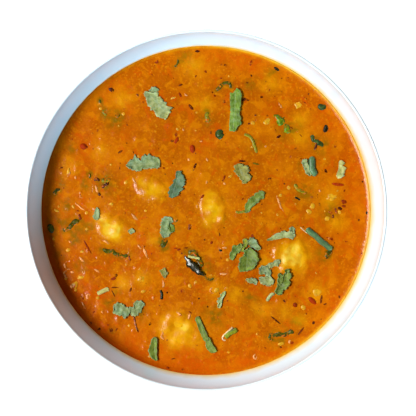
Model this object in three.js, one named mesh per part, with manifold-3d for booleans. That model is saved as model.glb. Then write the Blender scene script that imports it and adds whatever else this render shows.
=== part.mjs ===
// A round white bowl filled with dal, a thick lentil stew, with chunks of boiled potato that break its surface.
//
// Units are millimetres and +Z is up. The origin is the middle of the bowl's foot, on the surface that it stands on.
// The bowl is one solid of revolution. The dal fills it up to its level, less a pocket for each potato chunk.

import * as THREE from "three";
import { mergeVertices } from "three/addons/utils/BufferGeometryUtils.js";
import Module from "manifold-3d";

// Driving dimensions of the bowl.
const RIM_RADIUS = 80;
const BOWL_HEIGHT = 64;
const RIM_THICKNESS = 2.2;
const FLOOR_TOP = 8;
const FLOOR_UNDERSIDE = 3;
const FOOT_RADIUS = 36.5;
const FOOT_WIDTH = 4;
const FOOT_EDGE = 0.6; // the bevel of the foot ring's edges
const FOOT_TAPER = 1.2; // how much further out the foot ring is where it meets the wall than where it stands

// Driving dimensions of the food.
const FILL_LEVEL = 46;
const MENISCUS_RISE = 1.2;
const MENISCUS_WIDTH = 1.6;
const CLEARANCE = 0.3; // the play between two solids that lie against each other
const POTATO_SQUARENESS = 2.6; // the exponent of a chunk's superellipsoid: 2 is an egg, more is a cube
const POTATO_RIPPLES = { depth: [0.04, 0.03], waves: [4, 5] }; // depth as a share of a chunk's size

// The stew's surface rises and falls in two crossing swells, and lies calm towards the wall.
const LONG_SWELL = { height: 0.3, lengths: [11, 13] };
const SHORT_SWELL = { height: 0.2, lengths: [7, 6] };
const CALM_POWER = 4; // the higher, the closer to the wall the swells reach

// Fineness of the facets.
const ROUND_SEGMENTS = 64;
const WALL_STEPS = 9;
const RIM_STEPS = 6;
const SKIN_STEPS = 9;
const SKIN_CROWDING = 1.5; // above 1, the rings of facets on the stew crowd towards its edge
const POTATO_DETAIL = 3;

// The chunks: the middle of each on the surface, its half length, half width and half depth before it is turned,
// its turn about Z in degrees, and how far its top stands above the level.
const POTATO_CHUNKS = [
  { name: "potato_left", at: [-42, -8], half: [9.5, 7, 8], turn: -15, rise: 1.7 },
  { name: "potato_upper", at: [-25, 10], half: [10, 7, 7.5], turn: -30, rise: 1.3 },
  { name: "potato_middle", at: [3, 1], half: [7.5, 10.5, 8], turn: 10, rise: 1.5 },
  { name: "potato_right", at: [38.5, -20.5], half: [9.5, 10, 8.5], turn: 20, rise: 1.9 },
  { name: "potato_lower", at: [-11.5, -54], half: [12, 9, 8.5], turn: -20, rise: 1.6 },
];

const INNER_RADIUS = RIM_RADIUS - RIM_THICKNESS;
const RIM_ROUND = RIM_THICKNESS / 2;
const RIM_SPRING = BOWL_HEIGHT - RIM_ROUND; // where the walls end and the rounded lip begins

const ceramic = new THREE.MeshStandardMaterial({ color: 0xf4f4f2, roughness: 0.15, metalness: 0 });
const gravy = new THREE.MeshStandardMaterial({ color: 0xd27306, roughness: 0.35, metalness: 0 });
const boiledPotato = new THREE.MeshStandardMaterial({ color: 0xe8b020, roughness: 0.4, metalness: 0 });

// A quarter ellipse from the axis at height `bottom` out to `radius` at height `top`, from angle share 0 to 1.
function wallPoint(radius, bottom, top, share) {
  const angle = (share * Math.PI) / 2;
  return new THREE.Vector2(radius * Math.sin(angle), bottom + (top - bottom) * (1 - Math.cos(angle)));
}

// The shares of that quarter ellipse at which it reaches a height, or a distance from the axis.
function shareAtHeight(bottom, top, height) {
  return Math.acos(1 - (height - bottom) / (top - bottom)) / (Math.PI / 2);
}

function shareAtRadius(radius, distance) {
  return Math.asin(distance / radius) / (Math.PI / 2);
}

// LatheGeometry turns its profile about Y, so the result is stood up along Z.
function revolved(profile) {
  return new THREE.LatheGeometry(profile, ROUND_SEGMENTS).rotateX(Math.PI / 2);
}

// The bowl's section: the recess under the floor, the foot ring, the outer wall, the rounded lip and the inner wall.
function bowlProfile() {
  const footTop = shareAtRadius(RIM_RADIUS, FOOT_RADIUS + FOOT_TAPER);
  const recessRadius = FOOT_RADIUS - FOOT_WIDTH;
  const profile = [
    new THREE.Vector2(0, FLOOR_UNDERSIDE),
    new THREE.Vector2(recessRadius - FOOT_TAPER, FLOOR_UNDERSIDE),
    new THREE.Vector2(recessRadius, FOOT_EDGE),
    new THREE.Vector2(recessRadius + FOOT_EDGE, 0),
    new THREE.Vector2(FOOT_RADIUS - FOOT_EDGE, 0),
    new THREE.Vector2(FOOT_RADIUS, FOOT_EDGE),
  ];
  for (let i = 0; i <= WALL_STEPS; i++) {
    const share = footTop + ((1 - footTop) * i) / WALL_STEPS;
    profile.push(wallPoint(RIM_RADIUS, FLOOR_UNDERSIDE, RIM_SPRING, share));
  }
  for (let i = 1; i < RIM_STEPS; i++) {
    const angle = (Math.PI * i) / RIM_STEPS;
    profile.push(
      new THREE.Vector2(
        RIM_RADIUS - RIM_ROUND + RIM_ROUND * Math.cos(angle),
        RIM_SPRING + RIM_ROUND * Math.sin(angle),
      ),
    );
  }
  for (let i = WALL_STEPS; i >= 0; i--) {
    profile.push(wallPoint(INNER_RADIUS, FLOOR_TOP, RIM_SPRING, i / WALL_STEPS));
  }
  return profile;
}

// How far the stew's surface lies above or below its level at a point, away from the wall.
function relief(x, y) {
  const [longX, longY] = LONG_SWELL.lengths;
  const [shortX, shortY] = SHORT_SWELL.lengths;
  const longWave = Math.sin(x / longX + 0.7) * Math.cos(y / longY - 0.4);
  const shortWave = Math.sin((x + 1.7 * y) / shortX) * Math.sin((y - 0.6 * x) / shortY + 1.1);
  return LONG_SWELL.height * longWave + SHORT_SWELL.height * shortWave;
}

// The stew before the chunks are taken out: it follows the bowl's inner wall, and creeps up it at the edge.
function stewGeometry() {
  const wallRadius = INNER_RADIUS - CLEARANCE;
  const bottom = FLOOR_TOP + CLEARANCE;
  const edgeHeight = FILL_LEVEL + MENISCUS_RISE;
  const edgeShare = shareAtHeight(bottom, RIM_SPRING, edgeHeight);
  const profile = [];
  for (let i = 0; i <= WALL_STEPS; i++) {
    profile.push(wallPoint(wallRadius, bottom, RIM_SPRING, (edgeShare * i) / WALL_STEPS));
  }
  const edgeRadius = profile[WALL_STEPS].x;
  for (let i = SKIN_STEPS - 1; i >= 0; i--) {
    const radius = edgeRadius * (1 - (1 - i / SKIN_STEPS) ** SKIN_CROWDING);
    const creep = MENISCUS_RISE * Math.exp(-(edgeRadius - radius) / MENISCUS_WIDTH);
    profile.push(new THREE.Vector2(radius, FILL_LEVEL + creep));
  }
  const geometry = revolved(profile);
  const position = geometry.attributes.position;
  for (let i = 0; i < position.count; i++) {
    const [x, y, z] = [position.getX(i), position.getY(i), position.getZ(i)];
    const calm = Math.min(1, Math.hypot(x, y) / edgeRadius) ** CALM_POWER;
    if (z >= FILL_LEVEL) position.setZ(i, z + relief(x, y) * (1 - calm));
  }
  return geometry;
}

// A potato chunk about its own middle: a superellipsoid with softly uneven sides, `swell` larger all round.
function chunkGeometry(half, swell) {
  const geometry = new THREE.IcosahedronGeometry(1, POTATO_DETAIL);
  const position = geometry.attributes.position;
  const point = new THREE.Vector3();
  const [depthX, depthY] = POTATO_RIPPLES.depth;
  const [waveX, waveY] = POTATO_RIPPLES.waves;
  for (let i = 0; i < position.count; i++) {
    point.fromBufferAttribute(position, i);
    const power = (value) => Math.abs(value) ** POTATO_SQUARENESS;
    const reach = (power(point.x) + power(point.y) + power(point.z)) ** (-1 / POTATO_SQUARENESS);
    const ripple =
      depthX * Math.sin(waveX * point.x + half[0]) + depthY * Math.cos(waveY * point.y + half[1]);
    point.multiplyScalar(reach * (1 + (ripple * (1 - point.z)) / 2));
    position.setXYZ(
      i,
      point.x * (half[0] + swell),
      point.y * (half[1] + swell),
      point.z * (half[2] + swell),
    );
  }
  return geometry;
}

// The place of a chunk in the bowl.
function chunkMatrix(chunk) {
  const middle = FILL_LEVEL + chunk.rise - chunk.half[2];
  return new THREE.Matrix4()
    .makeTranslation(chunk.at[0], chunk.at[1], middle)
    .multiply(new THREE.Matrix4().makeRotationZ(THREE.MathUtils.degToRad(chunk.turn)));
}

function toSolid(wasm, geometry) {
  const bare = new THREE.BufferGeometry();
  const loose = geometry.index ? geometry.toNonIndexed() : geometry;
  bare.setAttribute("position", loose.getAttribute("position"));
  const merged = mergeVertices(bare, 1e-3);
  const mesh = new wasm.Mesh({
    numProp: 3,
    vertProperties: merged.attributes.position.array,
    triVerts: new Uint32Array(merged.index.array),
  });
  return new wasm.Manifold(mesh);
}

function toGeometry(solid) {
  const mesh = solid.getMesh();
  const geometry = new THREE.BufferGeometry();
  geometry.setAttribute("position", new THREE.BufferAttribute(mesh.vertProperties, mesh.numProp));
  geometry.setIndex(new THREE.BufferAttribute(mesh.triVerts, 1));
  geometry.computeVertexNormals();
  return geometry;
}

function named(name, geometry, material) {
  const mesh = new THREE.Mesh(geometry, material);
  mesh.name = name;
  return mesh;
}

const wasm = await Module();
wasm.setup();

const filledBowl = new THREE.Group();
filledBowl.add(named("bowl", revolved(bowlProfile()), ceramic));

let stew = toSolid(wasm, stewGeometry());
for (const chunk of POTATO_CHUNKS) {
  const pocket = chunkGeometry(chunk.half, CLEARANCE).applyMatrix4(chunkMatrix(chunk));
  stew = stew.subtract(toSolid(wasm, pocket));

  const potato = named(chunk.name, chunkGeometry(chunk.half, 0), boiledPotato);
  potato.applyMatrix4(chunkMatrix(chunk));
  filledBowl.add(potato);
}
filledBowl.add(named("dal", toGeometry(stew), gravy));

export default filledBowl;
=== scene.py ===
"""A round white bowl of dal with boiled potato, coriander and spices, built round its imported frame."""

import math
import random

import bmesh
import bpy
import numpy as np
from mathutils import Matrix, Vector, noise
from mathutils.bvhtree import BVHTree


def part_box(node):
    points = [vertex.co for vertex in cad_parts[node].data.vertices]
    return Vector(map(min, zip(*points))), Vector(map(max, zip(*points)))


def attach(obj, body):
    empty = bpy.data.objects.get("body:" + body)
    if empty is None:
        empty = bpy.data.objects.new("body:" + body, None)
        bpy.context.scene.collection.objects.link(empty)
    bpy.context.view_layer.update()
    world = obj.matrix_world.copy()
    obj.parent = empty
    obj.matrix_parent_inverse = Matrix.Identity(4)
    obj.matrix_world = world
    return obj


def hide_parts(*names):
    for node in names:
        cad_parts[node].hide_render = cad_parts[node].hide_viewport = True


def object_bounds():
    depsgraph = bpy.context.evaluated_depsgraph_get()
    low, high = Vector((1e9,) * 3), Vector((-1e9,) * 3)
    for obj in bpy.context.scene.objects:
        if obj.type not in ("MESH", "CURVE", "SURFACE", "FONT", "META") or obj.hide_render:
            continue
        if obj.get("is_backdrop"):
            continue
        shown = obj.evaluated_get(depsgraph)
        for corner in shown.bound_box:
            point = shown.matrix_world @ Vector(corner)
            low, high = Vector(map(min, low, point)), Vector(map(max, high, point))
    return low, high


bl_info = {
    "name": "Bowl of dal",
    "version": (1, 0, 0),
    "blender": (4, 5, 0),
    "location": "View3D > Sidebar > Dal",
    "description": "Builds a bowl of dal: the bowl, the stew, its potato, leaves, stems and spices",
    "category": "Add Mesh",
}

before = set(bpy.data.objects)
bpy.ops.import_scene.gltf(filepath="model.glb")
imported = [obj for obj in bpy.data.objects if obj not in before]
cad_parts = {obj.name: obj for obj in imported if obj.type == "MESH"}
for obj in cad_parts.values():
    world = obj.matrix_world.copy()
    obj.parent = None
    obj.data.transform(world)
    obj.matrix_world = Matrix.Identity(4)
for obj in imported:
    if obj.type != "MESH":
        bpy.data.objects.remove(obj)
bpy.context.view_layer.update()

MM = 0.001
TAU = math.tau
BOWL_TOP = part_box("bowl")[1].z
RIM_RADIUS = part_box("bowl")[1].x
STEW_FLOOR, STEW_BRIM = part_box("dal")[0].z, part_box("dal")[1].z
POTATOES = sorted(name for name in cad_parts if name.startswith("potato_"))

# ---------------------------------------------------------------------------------------------------------
# Sizes and colours
# ---------------------------------------------------------------------------------------------------------


def length(name, description, default):
    """A length in metres that a user may change."""
    return bpy.props.FloatProperty(
        name=name, description=description, default=default, min=0, unit="LENGTH", subtype="DISTANCE"
    )


def linear(share):
    """A display colour's channel, from 0 to 255, as the light it stands for."""
    share /= 255
    return share / 12.92 if share <= 0.04045 else ((share + 0.055) / 1.055) ** 2.4


def colour(name, description, red, green, blue):
    """A colour that a user may change, given as display values from 0 to 255."""
    return bpy.props.FloatVectorProperty(
        name=name,
        description=description,
        default=(linear(red), linear(green), linear(blue)),
        min=0,
        max=1,
        size=3,
        subtype="COLOR",
    )


class DalSizes(bpy.types.PropertyGroup):
    """The sizes of the bowl's wall, the stew's edge and the thin garnishes."""

    wall: length("Wall", "Thickness of the bowl's wall at the stew's level", 2.2 * MM)
    lip: length("Lip", "Thickness of the bowl's wall where it ends in the lip", 1.2 * MM)
    floor_top: length("Inner floor", "Height of the bowl's inner floor above what it stands on", 8 * MM)
    floor_underside: length("Outer floor", "Height of the recess inside the foot ring", 3 * MM)
    foot_radius: length("Foot radius", "Outer radius of the foot ring", 36.5 * MM)
    foot_width: length("Foot width", "Width of the foot ring", 4 * MM)
    meniscus_rise: length("Meniscus rise", "How far the stew creeps up the bowl's wall", 1.2 * MM)
    meniscus_width: length("Meniscus width", "How far from the wall the stew starts to creep up", 1.6 * MM)
    film: length("Film", "How far the potato stands out of the stew that drapes over it", 0.1 * MM)
    stain: length("Stain", "Height of the yellow stain on the wall above the stew", 5.5 * MM)
    leaf_thickness: length("Leaf thickness", "Thickness of a coriander leaf", 0.3 * MM)
    husk_radius: length("Husk radius", "Half the width of a lentil husk's rolled edge", 0.52 * MM)


class DalColours(bpy.types.PropertyGroup):
    """The colours of the bowl, the stew and everything in it."""

    glaze: colour("Glaze", "The bowl's white glaze", 240, 240, 238)
    biscuit: colour("Biscuit", "The unglazed foot ring", 214, 204, 188)
    stain: colour("Stain", "Turmeric oil on the wall", 250, 190, 30)
    gravy: colour("Gravy", "The stew's main orange", 198, 102, 2)
    gravy_deep: colour("Deep gravy", "The browner hollows of the stew", 178, 84, 1)
    gravy_bright: colour("Bright gravy", "The yellower swells of the stew", 212, 119, 2)
    oil: colour("Oil", "Red chilli oil in the stew", 200, 78, 1)
    # The edge colour is red oil, and painted shade where the wall shades the stew at the lower left.
    edge: colour("Edge", "The red oil along the wall", 192, 64, 1)
    # Herb haze also darkens the stew along its left side, as painted shade.
    herb_haze: colour("Herb haze", "Stew over a sunken herb", 134, 92, 4)
    potato: colour("Potato", "Boiled potato, yellow with turmeric", 236, 168, 2)
    potato_pale: colour("Pale potato", "The bare top of a chunk", 232, 202, 66)
    lentil: colour("Lentil", "A split lentil", 226, 154, 26)
    # Pale: partly a lentil's skin, and partly a painted highlight.
    husk: colour("Husk", "The pale rolled skin of a lentil", 228, 148, 80)
    spice: colour("Spice", "The finest specks of spice in the stew", 124, 52, 3)


def sizes():
    return bpy.context.scene.dal_sizes


def colours():
    return bpy.context.scene.dal_colours


# The tones of the herbs, stems and spices, as display values from 0 to 255. Each piece keeps its tones in
# its "tone" attribute, whose alpha is how readily the gravy films them over.
FILMLESS = {"black", "dark_green"}
TONES = {
    name: (*(linear(channel) for channel in tone), float(name not in FILMLESS))
    for name, tone in {
        "pale_leaf": (170, 174, 112),
        "grey_leaf": (144, 156, 102),
        "blue_leaf": (90, 114, 78),
        "green_leaf": (118, 132, 46),
        "bright_leaf": (116, 142, 46),
        "olive_leaf": (150, 138, 60),
        "lime": (136, 138, 12),
        "blue_stem": (92, 122, 78),
        "leek_green": (134, 140, 30),
        "straw": (202, 192, 112),
        # a pale line beside a stem: painted highlight
        "stem_glint": (232, 190, 140),
        "pale_lentil": (228, 162, 28),
        "wilted": (84, 82, 8),
        "olive": (112, 92, 8),
        "glassy": (142, 126, 22),
        "black": (36, 32, 6),
        "dark_green": (62, 78, 28),
        "moss": (112, 134, 16),
        "tomato": (172, 52, 3),
        "brown": (112, 44, 4),
        "red_brown": (146, 48, 2),
        "dark_seed": (84, 28, 2),
    }.items()
}

# ---------------------------------------------------------------------------------------------------------
# Where things lie, in millimetres from the bowl's axis
# ---------------------------------------------------------------------------------------------------------


def leaf(tone, base, tip, left, right, cup=0.3, roll=0.3, pitch=0, crease=0, lift=0, teeth=1, pale_from=0):
    """A torn leaf from its base to its tip, between its left and its right margin.

    Its margins stand `cup` above its midrib, its left margin `roll` above its right one and its tip `pitch`
    above its base. A `crease` folds it along its midrib, and `teeth` is how deeply its edge is cut. Where
    `pale_from` is set, it starts lime green and has its own tone from that share of its length on.
    """
    return locals()


def strand(tone, radius, *path, flat=0.55, tilt=0, climb=0, lift=0, blunt=False, spindle=False):
    """A stem, herb or husk along a path, `flat` times as thick as it is wide.

    It stands `lift` above where it would lie, and `climb` more at its end, and it leans over by `tilt`. Its
    ends are round, or `blunt` where it was cut, or it thins out all the way as a `spindle` does.
    """
    return locals()


LEAVES = [
    leaf("pale_leaf", (-26.5, 53.6), (-17.4, 43.2), cup=0.5, roll=-0.5,
         left=[(-24.2, 53.4), (-21.7, 53.2), (-20.6, 51.2), (-18.6, 49), (-16.6, 47.2), (-15.3, 46.2)],
         right=[(-28.1, 54), (-27.3, 50.4), (-25.9, 46.6), (-24.8, 45.2), (-24, 46.9), (-23.4, 44.4),
                (-21.6, 42.3), (-20, 41.3), (-18.2, 41.5)]),
    leaf("grey_leaf", (-25.6, 53.9), (-21.5, 54.7), roll=0.5,
         left=[(-25.5, 55), (-24.2, 55.8), (-22.8, 55.6)], right=[(-24, 53.6), (-22.6, 53.5)]),
    leaf("grey_leaf", (-21, 21.3), (-36.2, 20.3), cup=0.6, roll=0.4,
         left=[(-21.6, 19.6), (-23.6, 19), (-26, 19.2), (-28.6, 18.7), (-31, 17.9), (-33.6, 18.6),
               (-35.4, 19.6)],
         right=[(-21.2, 22.8), (-22.4, 24.2), (-24.4, 24.6), (-26.6, 25.9), (-28.4, 24.9), (-30, 22.6),
                (-31, 24.2), (-32.3, 25.3), (-33, 23.6), (-34.8, 22.2)]),
    leaf("blue_leaf", (-12.2, 17.9), (-15.6, 5.8), cup=0.4, roll=0.8,
         left=[(-10.9, 17.4), (-10.6, 15.6), (-9.7, 14), (-9.9, 11.6), (-11, 9.4), (-12.3, 7.2),
               (-14.4, 6.4)],
         right=[(-13.5, 17.4), (-13.8, 15), (-15.4, 12.6), (-16.6, 10), (-17, 7.6), (-16.6, 6.2)]),
    leaf("bright_leaf", (13.6, 55.2), (12.2, 36), cup=-0.2, roll=1.6, crease=0.7, teeth=0.25,
         left=[(15.2, 54.4), (16, 52.4), (15.7, 48), (15.4, 43.6), (16, 39.4), (14.6, 38.4), (13.2, 36.2)],
         right=[(12.2, 53.4), (10.8, 53.2), (10.9, 48), (10.9, 44.4), (10.6, 40), (10.6, 36.2)]),
    leaf("olive_leaf", (14.6, 21), (17.6, 12.4), cup=0.5,
         left=[(17.2, 20.7), (19, 19.8), (19.5, 17.6), (20.3, 15.6), (19.7, 13.8), (18.6, 12.8)],
         right=[(13.1, 20.3), (12.8, 18.2), (13.8, 16.6), (15, 15.4), (15.7, 13.6), (16.6, 12.6)]),
    leaf("green_leaf", (17.6, -1), (26.3, 8.3), roll=-0.5, pitch=0.5,
         left=[(17.7, 1.6), (18.2, 3.8), (20.2, 5.8), (22.4, 7.4), (24.6, 8.9)],
         right=[(19.3, -0.4), (20.9, 1.6), (22.4, 3.1), (24.2, 4.1), (25.8, 5.6)]),
    leaf("pale_leaf", (44.3, 23.2), (47.2, 15.7), cup=0.4,
         left=[(45.7, 22.9), (46.3, 20.4), (47.1, 18.4), (47.9, 16.7)],
         right=[(43.5, 22.2), (43.9, 20), (44.9, 17.9), (46, 16.1)]),
    leaf("straw", (61, 22.6), (60, 14.6), roll=0.4,
         left=[(62, 22.2), (62.8, 21.2), (62.3, 20.3), (63.3, 19), (62.7, 17.8), (63, 16.7), (61.6, 15.2)],
         right=[(60.5, 22), (60.4, 19.8), (59.9, 17.6), (59.1, 15.6)]),
    leaf("grey_leaf", (-16.2, -3.2), (-19.2, -12.4), cup=0.4, roll=-0.4,
         left=[(-15.2, -4.1), (-15.4, -5.2), (-16.9, -5.8), (-17.1, -7.6), (-16.2, -10), (-17.2, -11.6)],
         right=[(-18.2, -3), (-19.8, -3.8), (-20.5, -6), (-20.9, -8.4), (-20.4, -10.8)]),
    leaf("green_leaf", (-16.9, -6), (-15.4, -10), roll=-0.4,
         left=[(-15.6, -6.3), (-14.4, -7.6), (-14.2, -8.9)], right=[(-17.2, -7.6), (-16.5, -9.3)]),
    leaf("grey_leaf", (-49.5, 1.3), (-50.1, -4.2),
         left=[(-48.8, 0.2), (-48.5, -1.8), (-48.9, -3.6)],
         right=[(-50.2, 0), (-50.9, -2), (-51.1, -3.4)]),
    leaf("pale_leaf", (-35.3, -9.4), (-32.4, -9.4), roll=0,
         left=[(-34.4, -8.5), (-33.2, -8.6)], right=[(-34.4, -10.3), (-33.2, -10.2)]),
    leaf("olive_leaf", (-19.2, -26.2), (-18.8, -30.6), roll=0.2,
         left=[(-17.5, -26.6), (-17.6, -28.4)], right=[(-20.8, -27.3), (-20, -29)]),
    leaf("grey_leaf", (-34.8, -46.4), (-41.9, -44.6), cup=0.4, roll=0.4, crease=0.4,
         left=[(-35.5, -47.8), (-37, -48.8), (-38.6, -48), (-40.4, -46.9), (-41.8, -46.4)],
         right=[(-34.9, -44.8), (-36.6, -43.6), (-38.6, -42.3), (-40.4, -42), (-41.6, -42.9)]),
    leaf("grey_leaf", (-34.4, -46.6), (-28.2, -42.3), cup=0.4,
         left=[(-34.6, -44.6), (-33.4, -42.7), (-31.8, -41.4), (-30, -40.9)],
         right=[(-33.4, -47.9), (-31.8, -47.8), (-30.2, -46.6), (-28.9, -45.2), (-28, -43.6)]),
    leaf("pale_leaf", (27.6, -13.5), (40.3, -11.4), roll=0.4, pale_from=0.25,
         left=[(29.6, -12.3), (31.8, -10.7), (34.2, -9.7), (36.6, -9.4), (38.4, -9.6), (39.6, -9.9)],
         right=[(30.2, -13.3), (33, -12.7), (35.6, -12.1), (37.8, -12.6), (39.4, -12.9)]),
    leaf("grey_leaf", (39.6, -10.6), (38.9, -7.5),
         left=[(38.3, -9.4), (38.1, -8.2)], right=[(40.3, -9.4), (39.9, -8)]),
    leaf("green_leaf", (15.9, -15.2), (11, -22),
         left=[(16.3, -16.6), (15, -18.7), (13.6, -19.6), (13.1, -21.2), (12.2, -22.2)],
         right=[(14, -15.2), (12.4, -16.4), (11.7, -18.2), (10.6, -20.4)]),
    leaf("lime", (17.6, -12.9), (16.2, -18.6), cup=0.4, roll=0.2,
         left=[(18.6, -13.4), (18.9, -15.2), (18.2, -17.2)],
         right=[(16.8, -13.6), (17, -15.6), (16, -17.4)]),
    leaf("grey_leaf", (18.8, -14.8), (24.8, -17.4), cup=0.4, pitch=0.3,
         left=[(19.4, -13), (21.2, -12.5), (22.7, -13.7), (23.4, -15.4)],
         right=[(19.8, -16.2), (21.6, -16.8), (23.3, -17.9)]),
    leaf("green_leaf", (19.2, -17), (18.2, -27.4), cup=0.7, crease=0.4,
         left=[(21.2, -17.6), (22.6, -18.9), (23.3, -20.9), (23.8, -22.6), (22.9, -24.2), (22.3, -25.8),
               (20.4, -26.7)],
         right=[(17.6, -18), (17.4, -19.8), (15.6, -21.2), (14.9, -23.4), (14.7, -25.6), (15.2, -27.4),
                (16.6, -27.4)]),
    leaf("pale_leaf", (26.7, -25.8), (33.5, -23.4),
         left=[(28.4, -24.3), (30.6, -23), (32.6, -22.5)], right=[(28.8, -26.3), (31, -25.3), (33, -25)]),
    leaf("grey_leaf", (24, -26.2), (29.4, -28.8), cup=0.5,
         left=[(25.4, -25.2), (27.4, -25.6), (28.9, -26.8)],
         right=[(24.4, -28.6), (26, -29.6), (28, -29.9)]),
    leaf("pale_leaf", (24.1, -30.6), (30.8, -31.8), cup=0.5,
         left=[(25.4, -29.7), (27.2, -30.4), (29.2, -30)],
         right=[(24.8, -32.8), (26.4, -33.7), (28.4, -34.2), (30.1, -33.3)]),
    leaf("pale_leaf", (18.1, -31.2), (23.2, -32.4), roll=0.2,
         left=[(19.6, -30.7), (21.6, -31.1), (22.9, -31.6)],
         right=[(19.4, -32.7), (21, -33.6), (22.7, -33.4)]),
    leaf("green_leaf", (32, -37.9), (37.4, -26.6), cup=0.5, roll=-0.4, crease=0.3,
         left=[(31.3, -36.4), (32.4, -34), (32.9, -31.5), (34.6, -30.4), (35.4, -28.6), (36.2, -27)],
         right=[(33.8, -37.9), (35.8, -36.2), (37.4, -34), (38.4, -31.8), (38.4, -29.2)]),
    leaf("green_leaf", (33.7, -34), (33.3, -28.5), cup=0.4, lift=0.3,
         left=[(32.4, -32), (32.6, -29.8)], right=[(34.7, -31.6), (34.4, -29.4)]),
    leaf("pale_leaf", (8.6, -36.8), (5.7, -44.1), roll=0.4,
         left=[(8.4, -38.2), (7.3, -40), (7, -42), (6.7, -43.8)],
         right=[(7.4, -37.6), (6.2, -38.8), (5.3, -41), (4.8, -43.6)]),
    leaf("green_leaf", (-23.4, -57.5), (-22.8, -68), cup=0.4, crease=0.4, teeth=0.5,
         left=[(-22.4, -58.6), (-22.3, -62), (-22.5, -65.4), (-22.2, -67.6)],
         right=[(-24.6, -58.6), (-25.2, -60.8), (-26.2, -63.2), (-25.6, -65.4), (-24, -67.3)]),
    leaf("green_leaf", (-4.2, -48.3), (0.4, -59.2), roll=0.7, teeth=0.2,
         left=[(-3, -48.6), (-1.8, -51.4), (-0.2, -55), (0.9, -57.8)],
         right=[(-4.9, -49.6), (-3.8, -52.6), (-2.4, -56), (-1, -59)]),
    leaf("green_leaf", (0.6, -57.6), (3.4, -64.4), roll=0.7, lift=0.3, teeth=0.3,
         left=[(1.6, -58), (2.8, -60.6), (4.7, -63.6)], right=[(-0.3, -59.4), (-0.1, -62), (1.4, -64.5)]),
]

# Cut stems and strips of leaf, and two pale lines of painted highlight along stems' lit sides.
STEMS = [
    strand("blue_stem", 1.55, (48.3, 24.6), (47.9, 21), (48.6, 18), (49.4, 15.4), flat=0.6),
    strand("glassy", 0.55, (13.4, -0.4), (15, -0.9), (17.8, -0.3), flat=0.6),
    strand("straw", 0.95, (-49.4, -37.8), (-44.1, -35.6), flat=0.5, blunt=True),
    strand("leek_green", 1.15, (8.6, -57.5), (14, -54), flat=0.7, blunt=True),
    # pale lines on the stems' sides that face the lamp: painted highlights
    strand("stem_glint", 0.4, (9, -59.2), (7.6, -58.4), (8.2, -56.6), (12.2, -53), flat=0.9),
    strand("brown", 0.3, (9.4, -56), (12.8, -53.4), flat=0.8),
    strand("blue_stem", 1.3, (45.4, -8.2), (50, -12), (54, -15.4), (57.2, -18), flat=0.75, blunt=True),
    strand("stem_glint", 0.25, (42.8, -7.6), (45.8, -10.4), flat=0.8),
    strand("straw", 0.55, (-8.3, -20.6), (-2.8, -21.9), flat=0.6, lift=1, blunt=True),
    strand("glassy", 0.65, (17.2, 34.6), (20, 33.4), (21.6, 30.4), (23, 26), flat=0.4),
    strand("pale_leaf", 0.75, (31.2, -37.9), (29.6, -38.4), (28.2, -40), (27.8, -41.3), flat=0.6),
]

# A shiny black curl of leaf, which leans so that it catches the light.
CURL = strand("black", 1.75, (-9.6, -20.4), (-7.2, -24.4), (-4, -27), (-0.9, -29.9), flat=0.22, tilt=0.24,
              climb=1.3, lift=0.2, spindle=True)

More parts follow.
